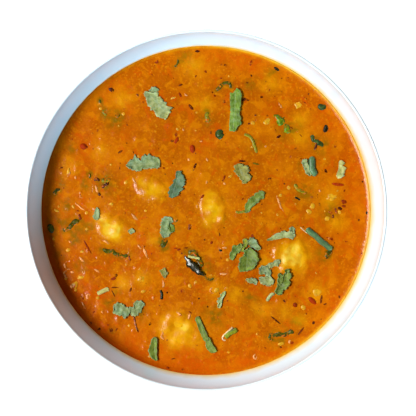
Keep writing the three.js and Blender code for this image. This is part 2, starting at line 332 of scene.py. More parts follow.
# Wilted, cooked herbs and the darkest seeds, half sunk in the stew.
HERBS = [
    strand("wilted", 0.6, (-52.9, 16.9), (-52.6, 14.6)),
    strand("dark_seed", 0.75, (-51, 14), (-48.2, 13.8)),
    strand("glassy", 1.1, (-47.6, 13.2), (-43.4, 14.4)),
    strand("dark_seed", 0.8, (-47.2, 10.2), (-45.8, 11.6), (-43.8, 12.4)),
    strand("dark_seed", 0.7, (-49, 8), (-48, 6.6)),
    strand("wilted", 0.85, (-69.4, 7.4), (-68, 9), (-66.2, 9.8)),
    strand("wilted", 1.4, (-71, -6), (-70, -10.4)),
    strand("wilted", 1, (-65, -9.4), (-62, -7.4), (-59.6, -5), (-57.4, -4.6)),
    strand("red_brown", 0.7, (-57.6, -1.6), (-57, -4.4)),
    strand("wilted", 1, (-47.2, -17.6), (-43.6, -18.6), (-39.6, -20.2), (-37.2, -21), (-35.4, -20)),
    strand("red_brown", 0.4, (-35.2, -20.4), (-34.8, -21.8), (-34.2, -22.8)),
    strand("olive", 1.3, (-8.4, -18.8), (-5.2, -19.8), (-3.4, -22.6), (-1.6, -25.8)),
    strand("olive", 0.4, (-1.4, -29.4), (1.6, -31.4), (3.6, -30.8)),
    strand("wilted", 1, (28.2, -57.4), (32, -56.6), (36, -56.2), (40, -55)),
    strand("wilted", 0.7, (28.4, -57), (29.8, -59.2)),
    strand("dark_green", 2, (6.6, 36.9), (6, 34.6), (7, 32.4)),
    strand("wilted", 0.7, (4.9, 54.2), (6.6, 56.4), (8.6, 57.7), (10.6, 57.4), (11.8, 55.4)),
    strand("dark_green", 1.7, (50.6, 46.9), (54.6, 46.6)),
    strand("black", 1.25, (54.4, 39), (53.6, 35.4)),
    strand("dark_green", 1, (47.6, 34.2), (49.2, 32), (51.4, 30.6), (53.4, 29.2)),
    strand("dark_seed", 0.6, (50.4, 30.6), (49.3, 27.2)),
    strand("moss", 2.3, (33.6, 43.6), (33.4, 41.2), (35.6, 39.6)),
    strand("moss", 1.6, (35.4, 39), (37, 37.4), (37.8, 35)),
    strand("glassy", 0.75, (40, 12), (41.2, 10.2), (43.2, 8.8), (45.6, 7.8)),
    strand("black", 0.5, (40.2, 5.8), (42.9, 4.9)),
    strand("black", 0.8, (-20.3, -36), (-20.2, -40.6)),
    strand("brown", 0.7, (-7.2, -6.2), (-7.9, -8.8)),
    strand("wilted", 0.5, (-14.4, 65.2), (-12.8, 66.8), (-12.9, 68.6)),
    strand("dark_seed", 1, (-44.2, 55.6), (-41.9, 53.8)),
    strand("wilted", 0.65, (-48.2, 50.4), (-48.2, 47.8)),
    strand("glassy", 0.8, (-46.6, 45.8), (-45.6, 42.8)),
    strand("black", 0.7, (30.9, 65), (33.2, 63.4)),
    strand("olive", 1.25, (-40.4, 43.6), (-39.4, 42.4)),
    strand("glassy", 1.1, (0.2, 44.8), (0.6, 39.8)),
    strand("wilted", 1.5, (-19.8, -13.2), (-18.8, -16.8)),
    strand("olive", 0.7, (-14.8, -4.4), (-12.6, -4.6)),
    strand("brown", 0.55, (-33, -48), (-32.2, -50.8), (-31.6, -53), (-30.8, -55)),
    strand("black", 0.8, (6, -17.6), (6.9, -18.8)),
    strand("dark_seed", 0.65, (55.6, -0.4), (57.4, -1.4)),
    strand("dark_seed", 0.65, (57.6, -1.8), (58, -3.4)),
    strand("red_brown", 0.5, (58.6, 1.2), (59.6, -1.4)),
    strand("black", 0.45, (73, -0.4), (72.9, -1.8)),
    strand("wilted", 1.15, (56.6, -17.4), (55.4, -19.4), (53.8, -21.6)),
    strand("black", 0.5, (46.5, 22.8), (46.8, 20.4), (48, 17.6)),
]

# Seeds and slivers of spice: the tone, half the width and the two ends of each.
SEEDS = [
    ("dark_seed", 0.55, (-4.4, 21.6), (-6, 17.8)), ("dark_seed", 0.5, (14.9, 22.5), (18.2, 22.3)),
    ("olive", 0.4, (21, 21.6), (24.2, 20.8)), ("red_brown", 0.45, (8.7, 16.2), (7.7, 13.4)),
    ("red_brown", 0.55, (-0.8, 7.2), (-2.6, 5.2)), ("dark_seed", 0.6, (31.8, 32.6), (34, 34.2)),
    ("dark_seed", 0.4, (29.4, -48), (34, -51.8)), ("brown", 0.45, (44.5, -53), (41.5, -56.8)),
    ("red_brown", 0.4, (-55.6, -13.4), (-52, -19.8)), ("brown", 0.7, (-8, 48.2), (-5.8, 45.6)),
    ("brown", 0.5, (-40, 26), (-37.8, 27.3)), ("tomato", 1.3, (-6.3, 29.9), (-6, 26)),
    ("tomato", 1.5, (-57.4, 29.6), (-54, 28.4)), ("red_brown", 0.9, (61.4, 4.6), (63.8, 3.4)),
    ("dark_seed", 0.7, (59.6, 1.6), (61.8, 0.4)), ("red_brown", 0.6, (61.6, 2.2), (63.4, 1.6)),
    ("tomato", 0.8, (-12.6, 33.4), (-14.2, 30.2)), ("tomato", 1.2, (46.4, -39.4), (50, -42.6)),
    ("red_brown", 0.6, (-12.4, 53.6), (-11.2, 51.4)), ("red_brown", 0.6, (20.8, 68.4), (20, 65.6)),
    ("tomato", 0.8, (56.8, 12.2), (63, 11.4)), ("dark_seed", 0.6, (-5, 72.2), (-2.8, 72.3)),
    ("brown", 0.35, (-43.2, -35), (-40.2, -35)), ("brown", 0.3, (-43, -36), (-41.2, -39.6)),
    ("brown", 0.45, (-34.6, -37.2), (-33.8, -34.8)), ("red_brown", 0.55, (3, -14), (2, -15.4)),
    ("red_brown", 0.5, (-13.4, -17.9), (-11.4, -17.6)), ("red_brown", 1.1, (39.6, -43.6), (41.2, -42.2)),
    ("brown", 0.5, (-12.6, 56.6), (-10.6, 57.3)), ("red_brown", 0.5, (-18, -71), (-16.6, -71.8)),
    ("brown", 0.5, (52.6, -38.4), (52, -42.4)),
]

# Flakes of chilli and tomato skin: place and radius.
FLAKES = [
    (-31.3, 52, 0.9), (-28.5, 49.2, 0.6), (-49.3, 36.2, 0.6), (-55.6, 29.4, 0.6), (-37.2, 45.9, 0.5),
    (-22.5, 67.5, 0.9), (-0.2, 63, 0.7), (7, 66, 0.5), (8.8, 66, 0.7), (6.9, 60, 0.6), (8.2, 49.2, 0.7),
    (17.2, 50.4, 1.2), (19, 50, 0.6), (20.5, 61.3, 0.7), (18.7, 58, 0.6), (-13.7, 34.4, 0.8),
    (-15.5, 31.5, 0.8), (-19.2, 19.3, 0.5), (-0.7, -13.3, 0.5), (-11, -19.5, 0.4), (21, -11.4, 0.8),
    (35.5, 12, 0.6), (38.3, 24.3, 0.7), (32.2, 18.4, 0.4), (29.2, 14.5, 0.5), (54.5, 18, 0.9),
    (71, 13, 0.5), (62.8, 9, 0.6), (69.3, 23.6, 0.4), (62.8, 3.6, 1.1), (51.5, 2.8, 0.5),
    (69.3, -4.3, 0.6), (63.5, -14.2, 0.6), (57, -12.8, 0.8), (34, -8.3, 0.9), (70.8, -19.5, 0.5),
    (60.5, -39.3, 0.7), (48.8, -51, 0.8), (35.5, -41.3, 1.1), (39, -60, 0.8), (34, -62.2, 0.6),
    (-42.3, -30.8, 1.2), (-40.8, -29.4, 0.9), (-52.3, -51, 0.7), (-48.5, -54, 0.8), (-44.5, -52, 0.5),
    (-43, -54.5, 1), (-25.5, -51.5, 0.8), (-10.7, -36.4, 0.9), (-3.3, -40, 0.5), (0.7, -43.7, 0.5),
    (-17.8, -58.8, 0.5), (-10.5, -72.3, 0.8), (-55.8, -40, 0.6), (-17.6, -37.3, 0.5), (47.7, 6, 0.7),
    (37.3, 60, 0.7), (27.8, 43, 0.5), (28.8, 54.6, 0.5), (46.5, 52.8, 0.5), (44.4, 51.3, 0.5),
    (19.4, 39.4, 0.6), (19, 37.4, 0.4), (40.6, 28.1, 0.6), (58.6, 29, 0.6), (45.5, -47, 0.5),
    (16.7, -36.7, 0.5), (9.5, -41, 0.5), (5.3, -48.5, 0.6), (54, -42.6, 0.8), (-47.2, 6.2, 0.4),
    (3, 53.6, 0.5), (4, 52, 0.6), (22.3, 43, 0.6), (22.6, 41, 0.7), (25.3, 51.5, 0.7),
]

# Soft pale lumps: place, half length, half width and turn in degrees.
LUMPS = [
    (42, 47.9, 2, 1.7, 10), (27.4, 40, 1.9, 1.5, 40), (46.7, -0.6, 1.5, 1.3, 70),
    (48.5, 1.8, 1.7, 1.4, 60), (57, 6, 2.4, 1.9, 0), (50, -37.2, 2.3, 2, 0), (44.2, -44, 1, 1.3, 0),
    (33.8, -60.6, 1.6, 1, 0), (-59.6, -33.9, 1.5, 2, 0), (-57, -30.4, 1.6, 1.2, 20),
    (4.6, -36.4, 1.4, 1.1, 20), (-29.3, -31, 1.6, 1.4, 0), (-28.6, -36.8, 1.1, 0.8, 0),
    (-15, 51.1, 1.2, 0.6, 20), (-68, 0, 1.3, 0.7, -20), (-62.5, -18, 1, 1, 0),
    (-56.4, -18.5, 0.9, 0.8, 0), (-66.8, 1.8, 0.6, 0.6, 0), (-43, 3, 1.2, 0.8, 0),
    (-62.6, 17.6, 0.8, 2.2, -10), (33.8, 6.8, 0.8, 0.9, 0), (55, -3.8, 1.4, 1, 0),
    (60.6, -0.6, 0.9, 1, 0),
]

# Rolled edges of lentil husks, which stand just out of the stew and catch the light. Their pale colour is
# partly a painted highlight, set where light glints on the stew and the potatoes.
HUSKS = [
    [(-60, 3.3), (-57.6, 2), (-55, 0.1)], [(-47.3, -13), (-45.4, -14.2), (-43.8, -15.2)],
    [(-34, -1.3), (-32.6, -3), (-30.9, -4.5)], [(-33.4, 15), (-32.6, 13.4), (-31.3, 12.3)],
    [(-30.6, 9.2), (-29.4, 8.4), (-28.4, 7.4)], [(-62.3, 19.2), (-62.1, 17), (-62.6, 15)],
    [(-59.4, 15.6), (-59, 14.2)], [(-57.2, 7.8), (-57.2, 6.2), (-56.2, 5.6)],
    [(-63, -22.8), (-64.1, -24.8), (-63, -26.6), (-61.4, -26.8)],
    [(-63.2, -27.2), (-64.5, -28.6), (-64, -30.2), (-62.6, -30.6)], [(-61.6, -27.6), (-60, -28.4)],
    [(-57.6, -21), (-56.6, -22.4), (-55.4, -23.4)], [(-51, -26.4), (-49.6, -27.4), (-48.4, -28.2)],
    [(-52.4, -38.2), (-53.6, -38.6), (-53.2, -40)], [(-56.6, -41.8), (-55.6, -43), (-54.6, -44.8)],
    [(-61, -33), (-61.2, -34.6), (-60.4, -35.6)], [(33.2, 49), (33.6, 47.4), (34.8, 46.2)],
    [(-9.8, 53.4), (-9.4, 52.2), (-8.4, 51.6)], [(3, -35), (1.9, -36), (2.2, -37.4), (3.6, -37.8)],
    [(-13.6, -46), (-12.2, -47), (-10.8, -47.8)], [(-7.2, -46.6), (-7.6, -48.2), (-8.2, -49.4)],
    [(22.4, -65), (21.8, -66.2), (22.4, -67.2), (23, -66)],
    [(31.8, 6.8), (32.8, 4.6), (34, 2), (35, -0.4)], [(-19.6, -31.4), (-19.2, -33), (-20, -35)],
    [(38.4, -60.2), (37.9, -59.6), (38.6, -58.8)], [(-24.4, -39), (-23.8, -40.4)],
    [(-20.2, -54.6), (-19.4, -56), (-20.4, -57.4), (-18.6, -59)],
    [(-50.2, 11.6), (-49.9, 9.8), (-48.8, 8.2)], [(-10.4, 37.4), (-10.2, 36)], [(-2.6, 31), (-1.8, 31.8)],
    [(0.2, 13.4), (0.4, 12)], [(0, 23.8), (0.8, 22.2)], [(8.2, 12.8), (8.6, 11.6)],
    [(-28.6, -16.4), (-27.4, -20), (-25.8, -22)], [(-31, -15.4), (-29.4, -17.6)], [(-4.2, 2.6), (-4, 1)],
    [(51.2, 9.4), (51.4, 8.2)], [(-7.8, 23.8), (-7.4, 22.4)], [(7.4, -16.4), (9.4, -17.2)],
    [(6, -28.8), (9.6, -29)], [(-62.4, -13.8), (-61, -14.8)], [(55.4, -12.4), (56.4, -12.8)],
    [(-52.6, -12.4), (-51.8, -13)], [(-47.8, -46), (-46.8, -46.8)], [(26.6, 29.4), (27.2, 28.6)],
]

# How bare of gravy each chunk of potato is on its top.
BARENESS = {
    "potato_left": 1,
    "potato_right": 0.65,
    "potato_upper": 0.2,
    "potato_middle": 0.15,
    "potato_lower": 0.05,
}

# Where the chunks of potato show yellow through the gravy: place, radius and strength.
YELLOW_PATCHES = [
    (-41.5, -8.5, 3.6, 0.9), (-46, -5.5, 3.6, 0.7), (-40.5, -12.5, 2.6, 0.5), (-44.5, -10, 3, 0.5),
    (-49, -3, 2.4, 0.4), (-23.5, 9, 3.6, 0.46), (-29.6, 13, 2.4, 0.38), (-26.5, 10.5, 2.8, 0.3),
    (-19.5, 7, 2.6, 0.25), (2.7, 6, 2.9, 0.52), (0, 1.5, 3, 0.46), (3.6, 1, 3.4, 0.52),
    (5.4, -3.2, 2.8, 0.46), (1.5, -5.5, 3.2, 0.35), (38, -19.5, 5.2, 0.8), (43, -17.5, 4, 0.5),
    (35, -24, 3.6, 0.5), (41.5, -25.5, 4, 0.5), (45, -22, 3.4, 0.4), (-11.5, -56.5, 5.2, 0.48),
    (-18, -50.5, 4, 0.4), (-6, -57, 3.6, 0.36), (-14.5, -60, 3.2, 0.36), (-11, -50, 4.4, 0.38),
    (-18.5, -56, 3, 0.3), (-5, -61, 3, 0.3),
]

# Soft tints of what lies just under the stew's skin: place and radius.
YELLOW_HAZES = [
    (43, 42, 3.6), (42, 33, 3.4), (-1, 48.5, 4), (-6, 65, 5), (-62, 20, 4), (-48, 27, 3), (-38, 50, 4),
    (29, 57, 4), (-29, -31, 3.5), (50, -37, 4), (57, 6, 4), (60, -6, 4), (27, -24, 3), (5, -36, 3),
    (-24, -13, 2.5), (-38, -33, 3.4), (13, -38, 4), (43, -50, 3), (36, -46, 4), (25, -46, 4),
]
RED_HAZES = [
    (-56, 27, 6), (55, 40, 7), (-1, 30, 5), (3, 33, 3), (6, 72, 5), (-36, 47, 4), (-38, 35, 4),
    (63, -12, 7), (-8, -68, 9), (-32, -64, 9), (-27, -20, 5), (58, -42, 4), (40, 13, 4), (64, 20, 6),
    (20, 66, 5), (48, 23, 4), (-57, 2, 4), (-58, -17, 4), (50, -27, 5), (18, -68, 7), (30, 47, 4),
    (-47, -38, 4), (66, 8, 5),
]
# Olive over sunken herbs. Those from (-66, 12) to (-40, -37) lie along the left side and darken the stew
# there as painted shade.
OLIVE_HAZES = [
    (37, 36, 4), (45, 8, 4), (-46, 12, 5), (-60, -7, 5), (-1, -25, 4), (52, 30, 5), (22, 30, 3),
    (0.4, 42, 3), (34, -58, 5), (-41, 40, 4), (-9, 69, 4), (-46, 44, 3), (40, -18, 0.1), (53, -20, 3.5),
    (-42, -56, 4), (-15, -7, 3), (4, -48, 5), (-30, -47, 3), (41, -51, 3), (56, 0, 4), (44, 20, 2.5),
    (14, 39, 2), (30, 63, 3), (-66, 12, 3), (-63, 3, 3.4), (-67, -5, 3), (-60, -14, 3), (-66, -20, 3),
    (-57, -25, 3), (-61, 28, 3), (-55, 12, 2.6), (-53, -8, 2.6), (-44, -42, 3), (-38, -45, 2.6),
    (-40, -37, 2), (20, -40, 3), (41, 37, 3), (20, 58, 3),
]


# ---------------------------------------------------------------------------------------------------------
# Shader arithmetic
# ---------------------------------------------------------------------------------------------------------


class Socket:
    """A node's output that Python's operators work on. Each operator adds its Math node."""

    def __init__(self, recipe, link):
        self.recipe = recipe
        self.link = link

    def math(self, operation, *values):
        return self.recipe.node("ShaderNodeMath", {"operation": operation}, dict(enumerate(values)))

    def __add__(self, other):
        return self.math("ADD", self, other)

    def __radd__(self, other):
        return self.math("ADD", other, self)

    def __sub__(self, other):
        return self.math("SUBTRACT", self, other)

    def __rsub__(self, other):
        return self.math("SUBTRACT", other, self)

    def __mul__(self, other):
        return self.math("MULTIPLY", self, other)

    def __rmul__(self, other):
        return self.math("MULTIPLY", other, self)

    def __truediv__(self, other):
        return self.math("DIVIDE", self, other)

    def __pow__(self, other):
        return self.math("POWER", self, other)

    def step(self, low, high):
        """0 below `low` and 1 above `high`, with a soft turn between them. `low` may be the larger."""
        return self.recipe.node(
            "ShaderNodeMapRange",
            {"interpolation_type": "SMOOTHSTEP", "clamp": True},
            {"Value": self, "From Min": low, "From Max": high},
        )


class Recipe:
    """One procedural material, or the world: a node tree and short ways to add to it."""

    def __init__(self, owner):
        self.owner = owner
        owner.use_nodes = True
        self.tree = owner.node_tree
        self.tree.nodes.clear()
        self.grains = {}

    def node(self, kind, settings=None, values=None, output=0):
        """Adds a node, sets its settings, then feeds its sockets, and returns one of its outputs."""
        made = self.tree.nodes.new(kind)
        for name, value in (settings or {}).items():
            setattr(made, name, value)
        for name, value in (values or {}).items():
            if isinstance(value, Socket):
                self.tree.links.new(value.link, made.inputs[name])
            else:
                made.inputs[name].default_value = value
        return Socket(self, made.outputs[output]) if made.outputs else None

    def object_point(self):
        return self.node("ShaderNodeTexCoord", output="Object")

    def vector(self, operation, first, second=(0.0, 0.0, 0.0), output=0):
        return self.node("ShaderNodeVectorMath", {"operation": operation}, {0: first, 1: second}, output)

    def grain(self, size, detail=2.0, distortion=0.0):
        """Cloudy noise from 0 to 1 whose clouds are about `size` metres across. Each kind is made once."""
        kind = (size, detail, distortion)
        if kind not in self.grains:
            scale = (1 / size,) * 3
            place = self.node("ShaderNodeMapping", None, {"Vector": self.object_point(), "Scale": scale})
            clouds = {"Vector": place, "Scale": 1.0, "Detail": detail, "Distortion": distortion}
            self.grains[kind] = self.node("ShaderNodeTexNoise", None, clouds)
        return self.grains[kind]

    def spots(self, size):
        """The distance from the middle of each of many spots about `size` metres apart."""
        return self.node("ShaderNodeTexVoronoi", None, {"Vector": self.object_point(), "Scale": 1 / size})

    def attribute(self, name, output="Color"):
        return self.node("ShaderNodeAttribute", {"attribute_name": name}, output=output)

    def channels(self, coloured):
        """The red, green and blue of a colour, as three numbers."""
        return [self.node("ShaderNodeSeparateColor", None, {"Color": coloured}, i) for i in range(3)]

    def height(self):
        return self.node("ShaderNodeSeparateXYZ", None, {"Vector": self.object_point()}, "Z")

    def mix(self, share, low, high, blend="MIX"):
        """A colour from `low` to `high`."""
        settings = {"data_type": "RGBA", "blend_type": blend}
        return self.node("ShaderNodeMix", settings, {0: share, 6: paint(low), 7: paint(high)}, 2)

    def cast(self, coloured, red, green, blue):
        """A colour with its channels multiplied."""
        return self.mix(1.0, coloured, (red, green, blue), "MULTIPLY")

    def bump(self, relief, distance, strength):
        values = {"Height": relief, "Distance": distance, "Strength": strength}
        return self.node("ShaderNodeBump", None, values)

    def surface(self, **values):
        """The material's Principled shader and its output. Returns the material."""
        named = {name.replace("_", " "): value for name, value in values.items()}
        shader = self.node("ShaderNodeBsdfPrincipled", None, named)
        self.node("ShaderNodeOutputMaterial", None, {"Surface": shader})
        return self.owner


def paint(value):
    """A colour socket's value with its alpha, or a link as it is."""
    return value if isinstance(value, Socket) or len(value) == 4 else (*value, 1.0)


def new_recipe(name):
    return Recipe(bpy.data.materials.new(name))


# ---------------------------------------------------------------------------------------------------------
# Materials
# ---------------------------------------------------------------------------------------------------------

STAINED_SIDE = (0.87, -0.5, 0.0)  # the side of the bowl where the stain stands highest
STAIN_START = 0.3 * MM  # how far below the stew's brim the stain starts
STAIN_LEAST, STAIN_GAIN = 0.62, 0.4  # the stain's height as a share, and what the stained side adds to it
STAIN_FADE = 1.4  # the higher, the sooner the stain thins out upwards
BARE_FOOT, GLAZED_FOOT = 0.5 * MM, 0.9 * MM  # the foot is bare below the first and glazed above the second
WALL_MIDDLE = 0.4, 0.7  # the shares of the wall's thickness between which its inner side ends


def glaze_material():
    """White glaze with a faint warmth, a turmeric stain over the stew, and a bare foot ring."""
    recipe = new_recipe("bowl_glaze")
    tones, size = colours(), sizes()
    height = recipe.height()
    flat_point = recipe.vector("MULTIPLY", recipe.object_point(), (1.0, 1.0, 0.0))
    from_axis = recipe.vector("LENGTH", flat_point, output=1)
    towards = recipe.vector("DOT_PRODUCT", flat_point, STAINED_SIDE, output=1) / RIM_RADIUS
    spring = BOWL_TOP - size.wall / 2
    share = (spring - height) / (spring - size.floor_top)
    inner_wall = (1 - share * share) ** 0.5 * (RIM_RADIUS - size.wall)
    inside = (from_axis - inner_wall).step(size.wall * WALL_MIDDLE[1], size.wall * WALL_MIDDLE[0])
    ragged = recipe.grain(7 * MM, detail=3) * 0.9 + 0.55
    reach = size.stain * (towards * STAIN_GAIN + STAIN_LEAST) * ragged
    faded = 1 - (height - (STEW_BRIM - STAIN_START)) / reach
    stained = faded.math("MAXIMUM", faded, 0.0) ** STAIN_FADE * inside
    dimmed = tuple(0.97 * channel for channel in tones.glaze)
    glaze = recipe.mix(recipe.grain(18 * MM, detail=3), tones.glaze, dimmed)
    glaze = recipe.mix(stained, glaze, tones.stain)
    bare = height.step(GLAZED_FOOT, BARE_FOOT)
    relief = recipe.grain(9 * MM) + bare * recipe.grain(0.4 * MM)
    return recipe.surface(
        Base_Color=recipe.mix(bare, glaze, tones.biscuit),
        Roughness=bare * 0.6 + recipe.grain(3 * MM) * 0.05 + 0.1,
        Normal=recipe.bump(relief, distance=0.15 * MM, strength=0.35),
        IOR=1.5,
    )


# The stew's mottling, coat by coat on the deep gravy. A coat's patches are `size` millimetres across. They
# start where their noise passes `start`, are full where it passes `full`, and hide `cover` of what is below.
MOTTLING = [
    dict(tone="gravy", size=15, detail=3, distortion=0.6, start=0.36, full=0.66, cover=1.0),
    dict(tone="gravy_bright", size=4.2, detail=3, distortion=0.8, start=0.5, full=0.66, cover=0.7),
    dict(tone="gravy_deep", size=4.2, detail=3, distortion=0.8, start=0.46, full=0.3, cover=0.7),
    dict(tone="gravy_bright", size=1.1, detail=2, distortion=0.0, start=0.5, full=0.7, cover=0.5),
    dict(tone="oil", size=6, detail=3, distortion=1.2, start=0.54, full=0.66, cover=0.55),
]

# Bits of lentil and specks of spice, `apart` millimetres from each other. They fade in from `edge` to `core`
# of that distance, and lie in crowds `crowd` millimetres across.
SPECKS = [
    dict(tone="lentil", apart=1.5, edge=0.34, core=0.16, crowd=3.4, start=0.48, full=0.6, cover=0.4),
    dict(tone="spice", apart=1.7, edge=0.17, core=0.1, crowd=5, start=0.5, full=0.62, cover=0.75),
]


def gravy_colour(recipe):
    """The stew's mottled orange: broad swells and hollows, mealy grain, oil and specks of spice."""
    tones = colours()
    base = tones.gravy_deep
    for coat in MOTTLING:
        patches = recipe.grain(coat["size"] * MM, coat["detail"], coat["distortion"])
        patches = patches.step(coat["start"], coat["full"])
        base = recipe.mix(patches * coat["cover"], base, getattr(tones, coat["tone"]))
    for specks in SPECKS:
        dots = recipe.spots(specks["apart"] * MM).step(specks["edge"], specks["core"])
        crowds = recipe.grain(specks["crowd"] * MM).step(specks["start"], specks["full"])
        base = recipe.mix(dots * crowds * specks["cover"], base, getattr(tones, specks["tone"]))
    return base


RED_COVER, OLIVE_COVER, PALE_COVER = 0.75, 0.8, 0.45  # how strongly each haze tints the stew
CORE_START = 0.82  # how yellow the stew is where a chunk's pale core starts to show


def gravy_material():
    """The stew: its mottled orange, tinted by what lies under its skin.

    It is redder and darker towards the wall, with oil and with painted shade at the lower left.
    """
    recipe = new_recipe("dal_gravy")
    tones = colours()
    yellow, red, olive = recipe.channels(recipe.attribute("hazes"))
    patchy = recipe.grain(2.6 * MM, detail=3).step(0.36, 0.64) + 0.2
    cloudy = recipe.grain(3.6 * MM).step(0.25, 0.7) * 0.55 + 0.5
    base = gravy_colour(recipe)
    for share, tone in (
        (red * patchy * RED_COVER, tones.oil),
        # olive: stew over sunken herbs, and painted shade along the left side
        (olive * patchy * OLIVE_COVER, tones.herb_haze),
        (yellow * cloudy, tones.potato),
        (yellow.step(CORE_START, 1.0) * patchy * PALE_COVER, tones.potato_pale),
        # the red edge along the wall: oil all round, and painted shade towards the lower left
        (recipe.attribute("hazes", "Alpha"), tones.edge),
    ):
        base = recipe.mix(share, base, tone)
    fine = recipe.grain(0.8 * MM, detail=3) + recipe.grain(2.2 * MM)
    return recipe.surface(
        Base_Color=base,
        Roughness=recipe.grain(2.5 * MM) * 0.14 + yellow * 0.14 + 0.1,
        Normal=recipe.bump(fine, distance=0.17 * MM, strength=0.5),
        Specular_IOR_Level=0.28,
        IOR=1.4,
    )


BARE_START, BARE_FULL = -1.0 * MM, 0.6 * MM  # heights over the level at which bareness starts and is full


def potato_material():
    """Boiled potato: filmed with gravy as the stew round it is, and paler and mealier on its top."""
    recipe = new_recipe("boiled_potato")
    tones = colours()
    height = recipe.height() + (recipe.grain(5 * MM) - 0.5) * (2 * MM)
    bare = height.step(stew_level() + BARE_START, stew_level() + BARE_FULL)
    yellow = recipe.channels(recipe.attribute("hazes"))[0]
    bareness = recipe.attribute("hazes", "Alpha") * yellow
    film = recipe.mix(yellow, gravy_colour(recipe), tones.potato)
    mealy = recipe.grain(0.9 * MM, detail=3)
    return recipe.surface(
        Base_Color=recipe.mix(bare * bareness, film, tones.potato_pale),
        Roughness=mealy * 0.25 + 0.16,
        Normal=recipe.bump(mealy * 0.6 + recipe.grain(2.8 * MM), distance=0.22 * MM, strength=0.5),
        Specular_IOR_Level=0.25,
        IOR=1.4,
    )


FILM_SIZE, FILM_TURN = 1.9 * MM, 0.14  # the size of the patches of film, and how softly they start

# The small things' finishes: the sizes in millimetres of their mottling, relief and depth of relief, the
# least roughness, the specular level, the noise from which gravy films them over (0 for none), and the share
# of the tone that their darker mottling keeps.
FINISHES = {
    "lentil": dict(mottling=1.4, relief=0.7, depth=0.1, gloss=0.2, shine=0.3, film=0.54, dark=0.72),
    "lentil_husk": dict(mottling=1.2, relief=0.8, depth=0.1, gloss=0.15, shine=0.3, film=0.5, dark=0.72),
    "coriander_stem": dict(mottling=1, relief=0.7, depth=0.15, gloss=0.2, shine=0.35, film=0, dark=0.72),
    "wilted_herb": dict(mottling=1.3, relief=1.4, depth=0.15, gloss=0.2, shine=0.25, film=0.5, dark=0.4),
    "shiny_leaf": dict(mottling=1.3, relief=1.2, depth=0.12, gloss=0.14, shine=0.7, film=0, dark=0.72),
    "cumin_seed": dict(mottling=0.6, relief=0.4, depth=0.1, gloss=0.4, shine=0.08, film=0.56, dark=0.72),
    "chilli_skin": dict(mottling=0.6, relief=0.5, depth=0.1, gloss=0.4, shine=0.08, film=0.52, dark=0.72),
}


def toned_material(name):
    """A finish whose colour comes from the piece's own tones, with a grain and a patchy film of gravy."""
    recipe = new_recipe(name)
    finish = FINISHES[name]
    tone = recipe.attribute("tone")
    grain = recipe.grain(finish["mottling"] * MM, detail=3)
    base = recipe.mix(grain.step(0.3, 0.7), recipe.cast(tone, *[finish["dark"]] * 3), tone)
    film_from = finish["film"]
    if film_from:
        film = recipe.grain(FILM_SIZE, detail=3, distortion=0.8).step(film_from, film_from + FILM_TURN)
        base = recipe.mix(film * recipe.attribute("tone", "Alpha"), base, gravy_colour(recipe))
    return recipe.surface(
        Base_Color=base,
        Roughness=recipe.grain(1.5 * MM) * 0.2 + finish["gloss"],
        Normal=recipe.bump(recipe.grain(finish["relief"] * MM), distance=finish["depth"] * MM, strength=0.6),
        Specular_IOR_Level=finish["shine"],
        IOR=1.4,
    )


VEINS_ALONG, VEIN_SLANT = 7.0, 2.2  # how many side veins a leaf has, and how far they run on towards its tip
VEIN_WIDTH = 0.1, 0.02  # the distances from a vein's middle at which it is gone, and full
VEIN_COVER, RIB_COVER, EDGE_COVER = 0.3, 0.25, 0.3  # how strongly the veins, midrib and edge stand out; the pale edge is a painted highlight
LEAF_LIGHT, LEAF_SHADE = (1.2, 1.2, 1.28), (0.74, 0.8, 0.68)  # painted light and painted shade, mottled over the leaf by its grain


def leaf_material():
    """Coriander leaf: its tone, with paler veins that fan from the midrib.

    Painted light and painted shade are mottled over it by its grain, with painted shade in its folds and
    a painted highlight along its edge.
    """
    recipe = new_recipe("coriander_leaf")
    tone = recipe.attribute("tone")
    blotch = recipe.grain(2.8 * MM, detail=3, distortion=0.6)
    folds = recipe.grain(2 * MM, distortion=0.8)
    for share, cast in (
        (blotch.step(0.5, 0.7) * 0.35, (1.1, 0.98, 0.3)),
        (blotch.step(0.5, 0.32) * 0.5, (0.8, 1.0, 1.5)),
        # darker patches where the leaf folds: painted shade
        (folds.step(0.44, 0.3) * 0.5, (0.45, 0.5, 0.35)),
    ):
        tone = recipe.mix(share, tone, recipe.cast(tone, *cast))
    place = recipe.node("ShaderNodeUVMap", {"uv_map": "blade"})
    along, signed = (recipe.node("ShaderNodeSeparateXYZ", None, {"Vector": place}, axis) for axis in "XY")
    across = signed.math("ABSOLUTE", signed)
    slant = along * VEINS_ALONG - across * VEIN_SLANT + recipe.grain(2 * MM) * 0.5
    vein = slant.math("PINGPONG", slant, 0.5).step(*VEIN_WIDTH) * (1 - across * 0.6) * VEIN_COVER
    rib = across.step(*VEIN_WIDTH) * RIB_COVER
    drawn = vein.math("MAXIMUM", vein, rib)
    grain = recipe.grain(1.6 * MM, detail=3)
    lit, dim = recipe.cast(tone, *LEAF_LIGHT), recipe.cast(tone, *LEAF_SHADE)
    pale = recipe.mix(0.4, tone, (0.75, 0.85, 0.6))
    # Pale patches along the margins: a painted highlight where light catches the leaf's edge.
    edge = across.step(0.8, 1.0) * recipe.grain(1.2 * MM).step(0.35, 0.6)
    base = recipe.mix(drawn, recipe.mix(grain.step(0.34, 0.64), dim, lit), pale)
    return recipe.surface(
        Base_Color=recipe.mix(edge * EDGE_COVER, base, pale),
        Roughness=grain * 0.15 + 0.34,
        Normal=recipe.bump(drawn * 0.7 + grain * 0.5, distance=0.2 * MM, strength=0.6),
        Specular_IOR_Level=0.25,
        IOR=1.4,
    )


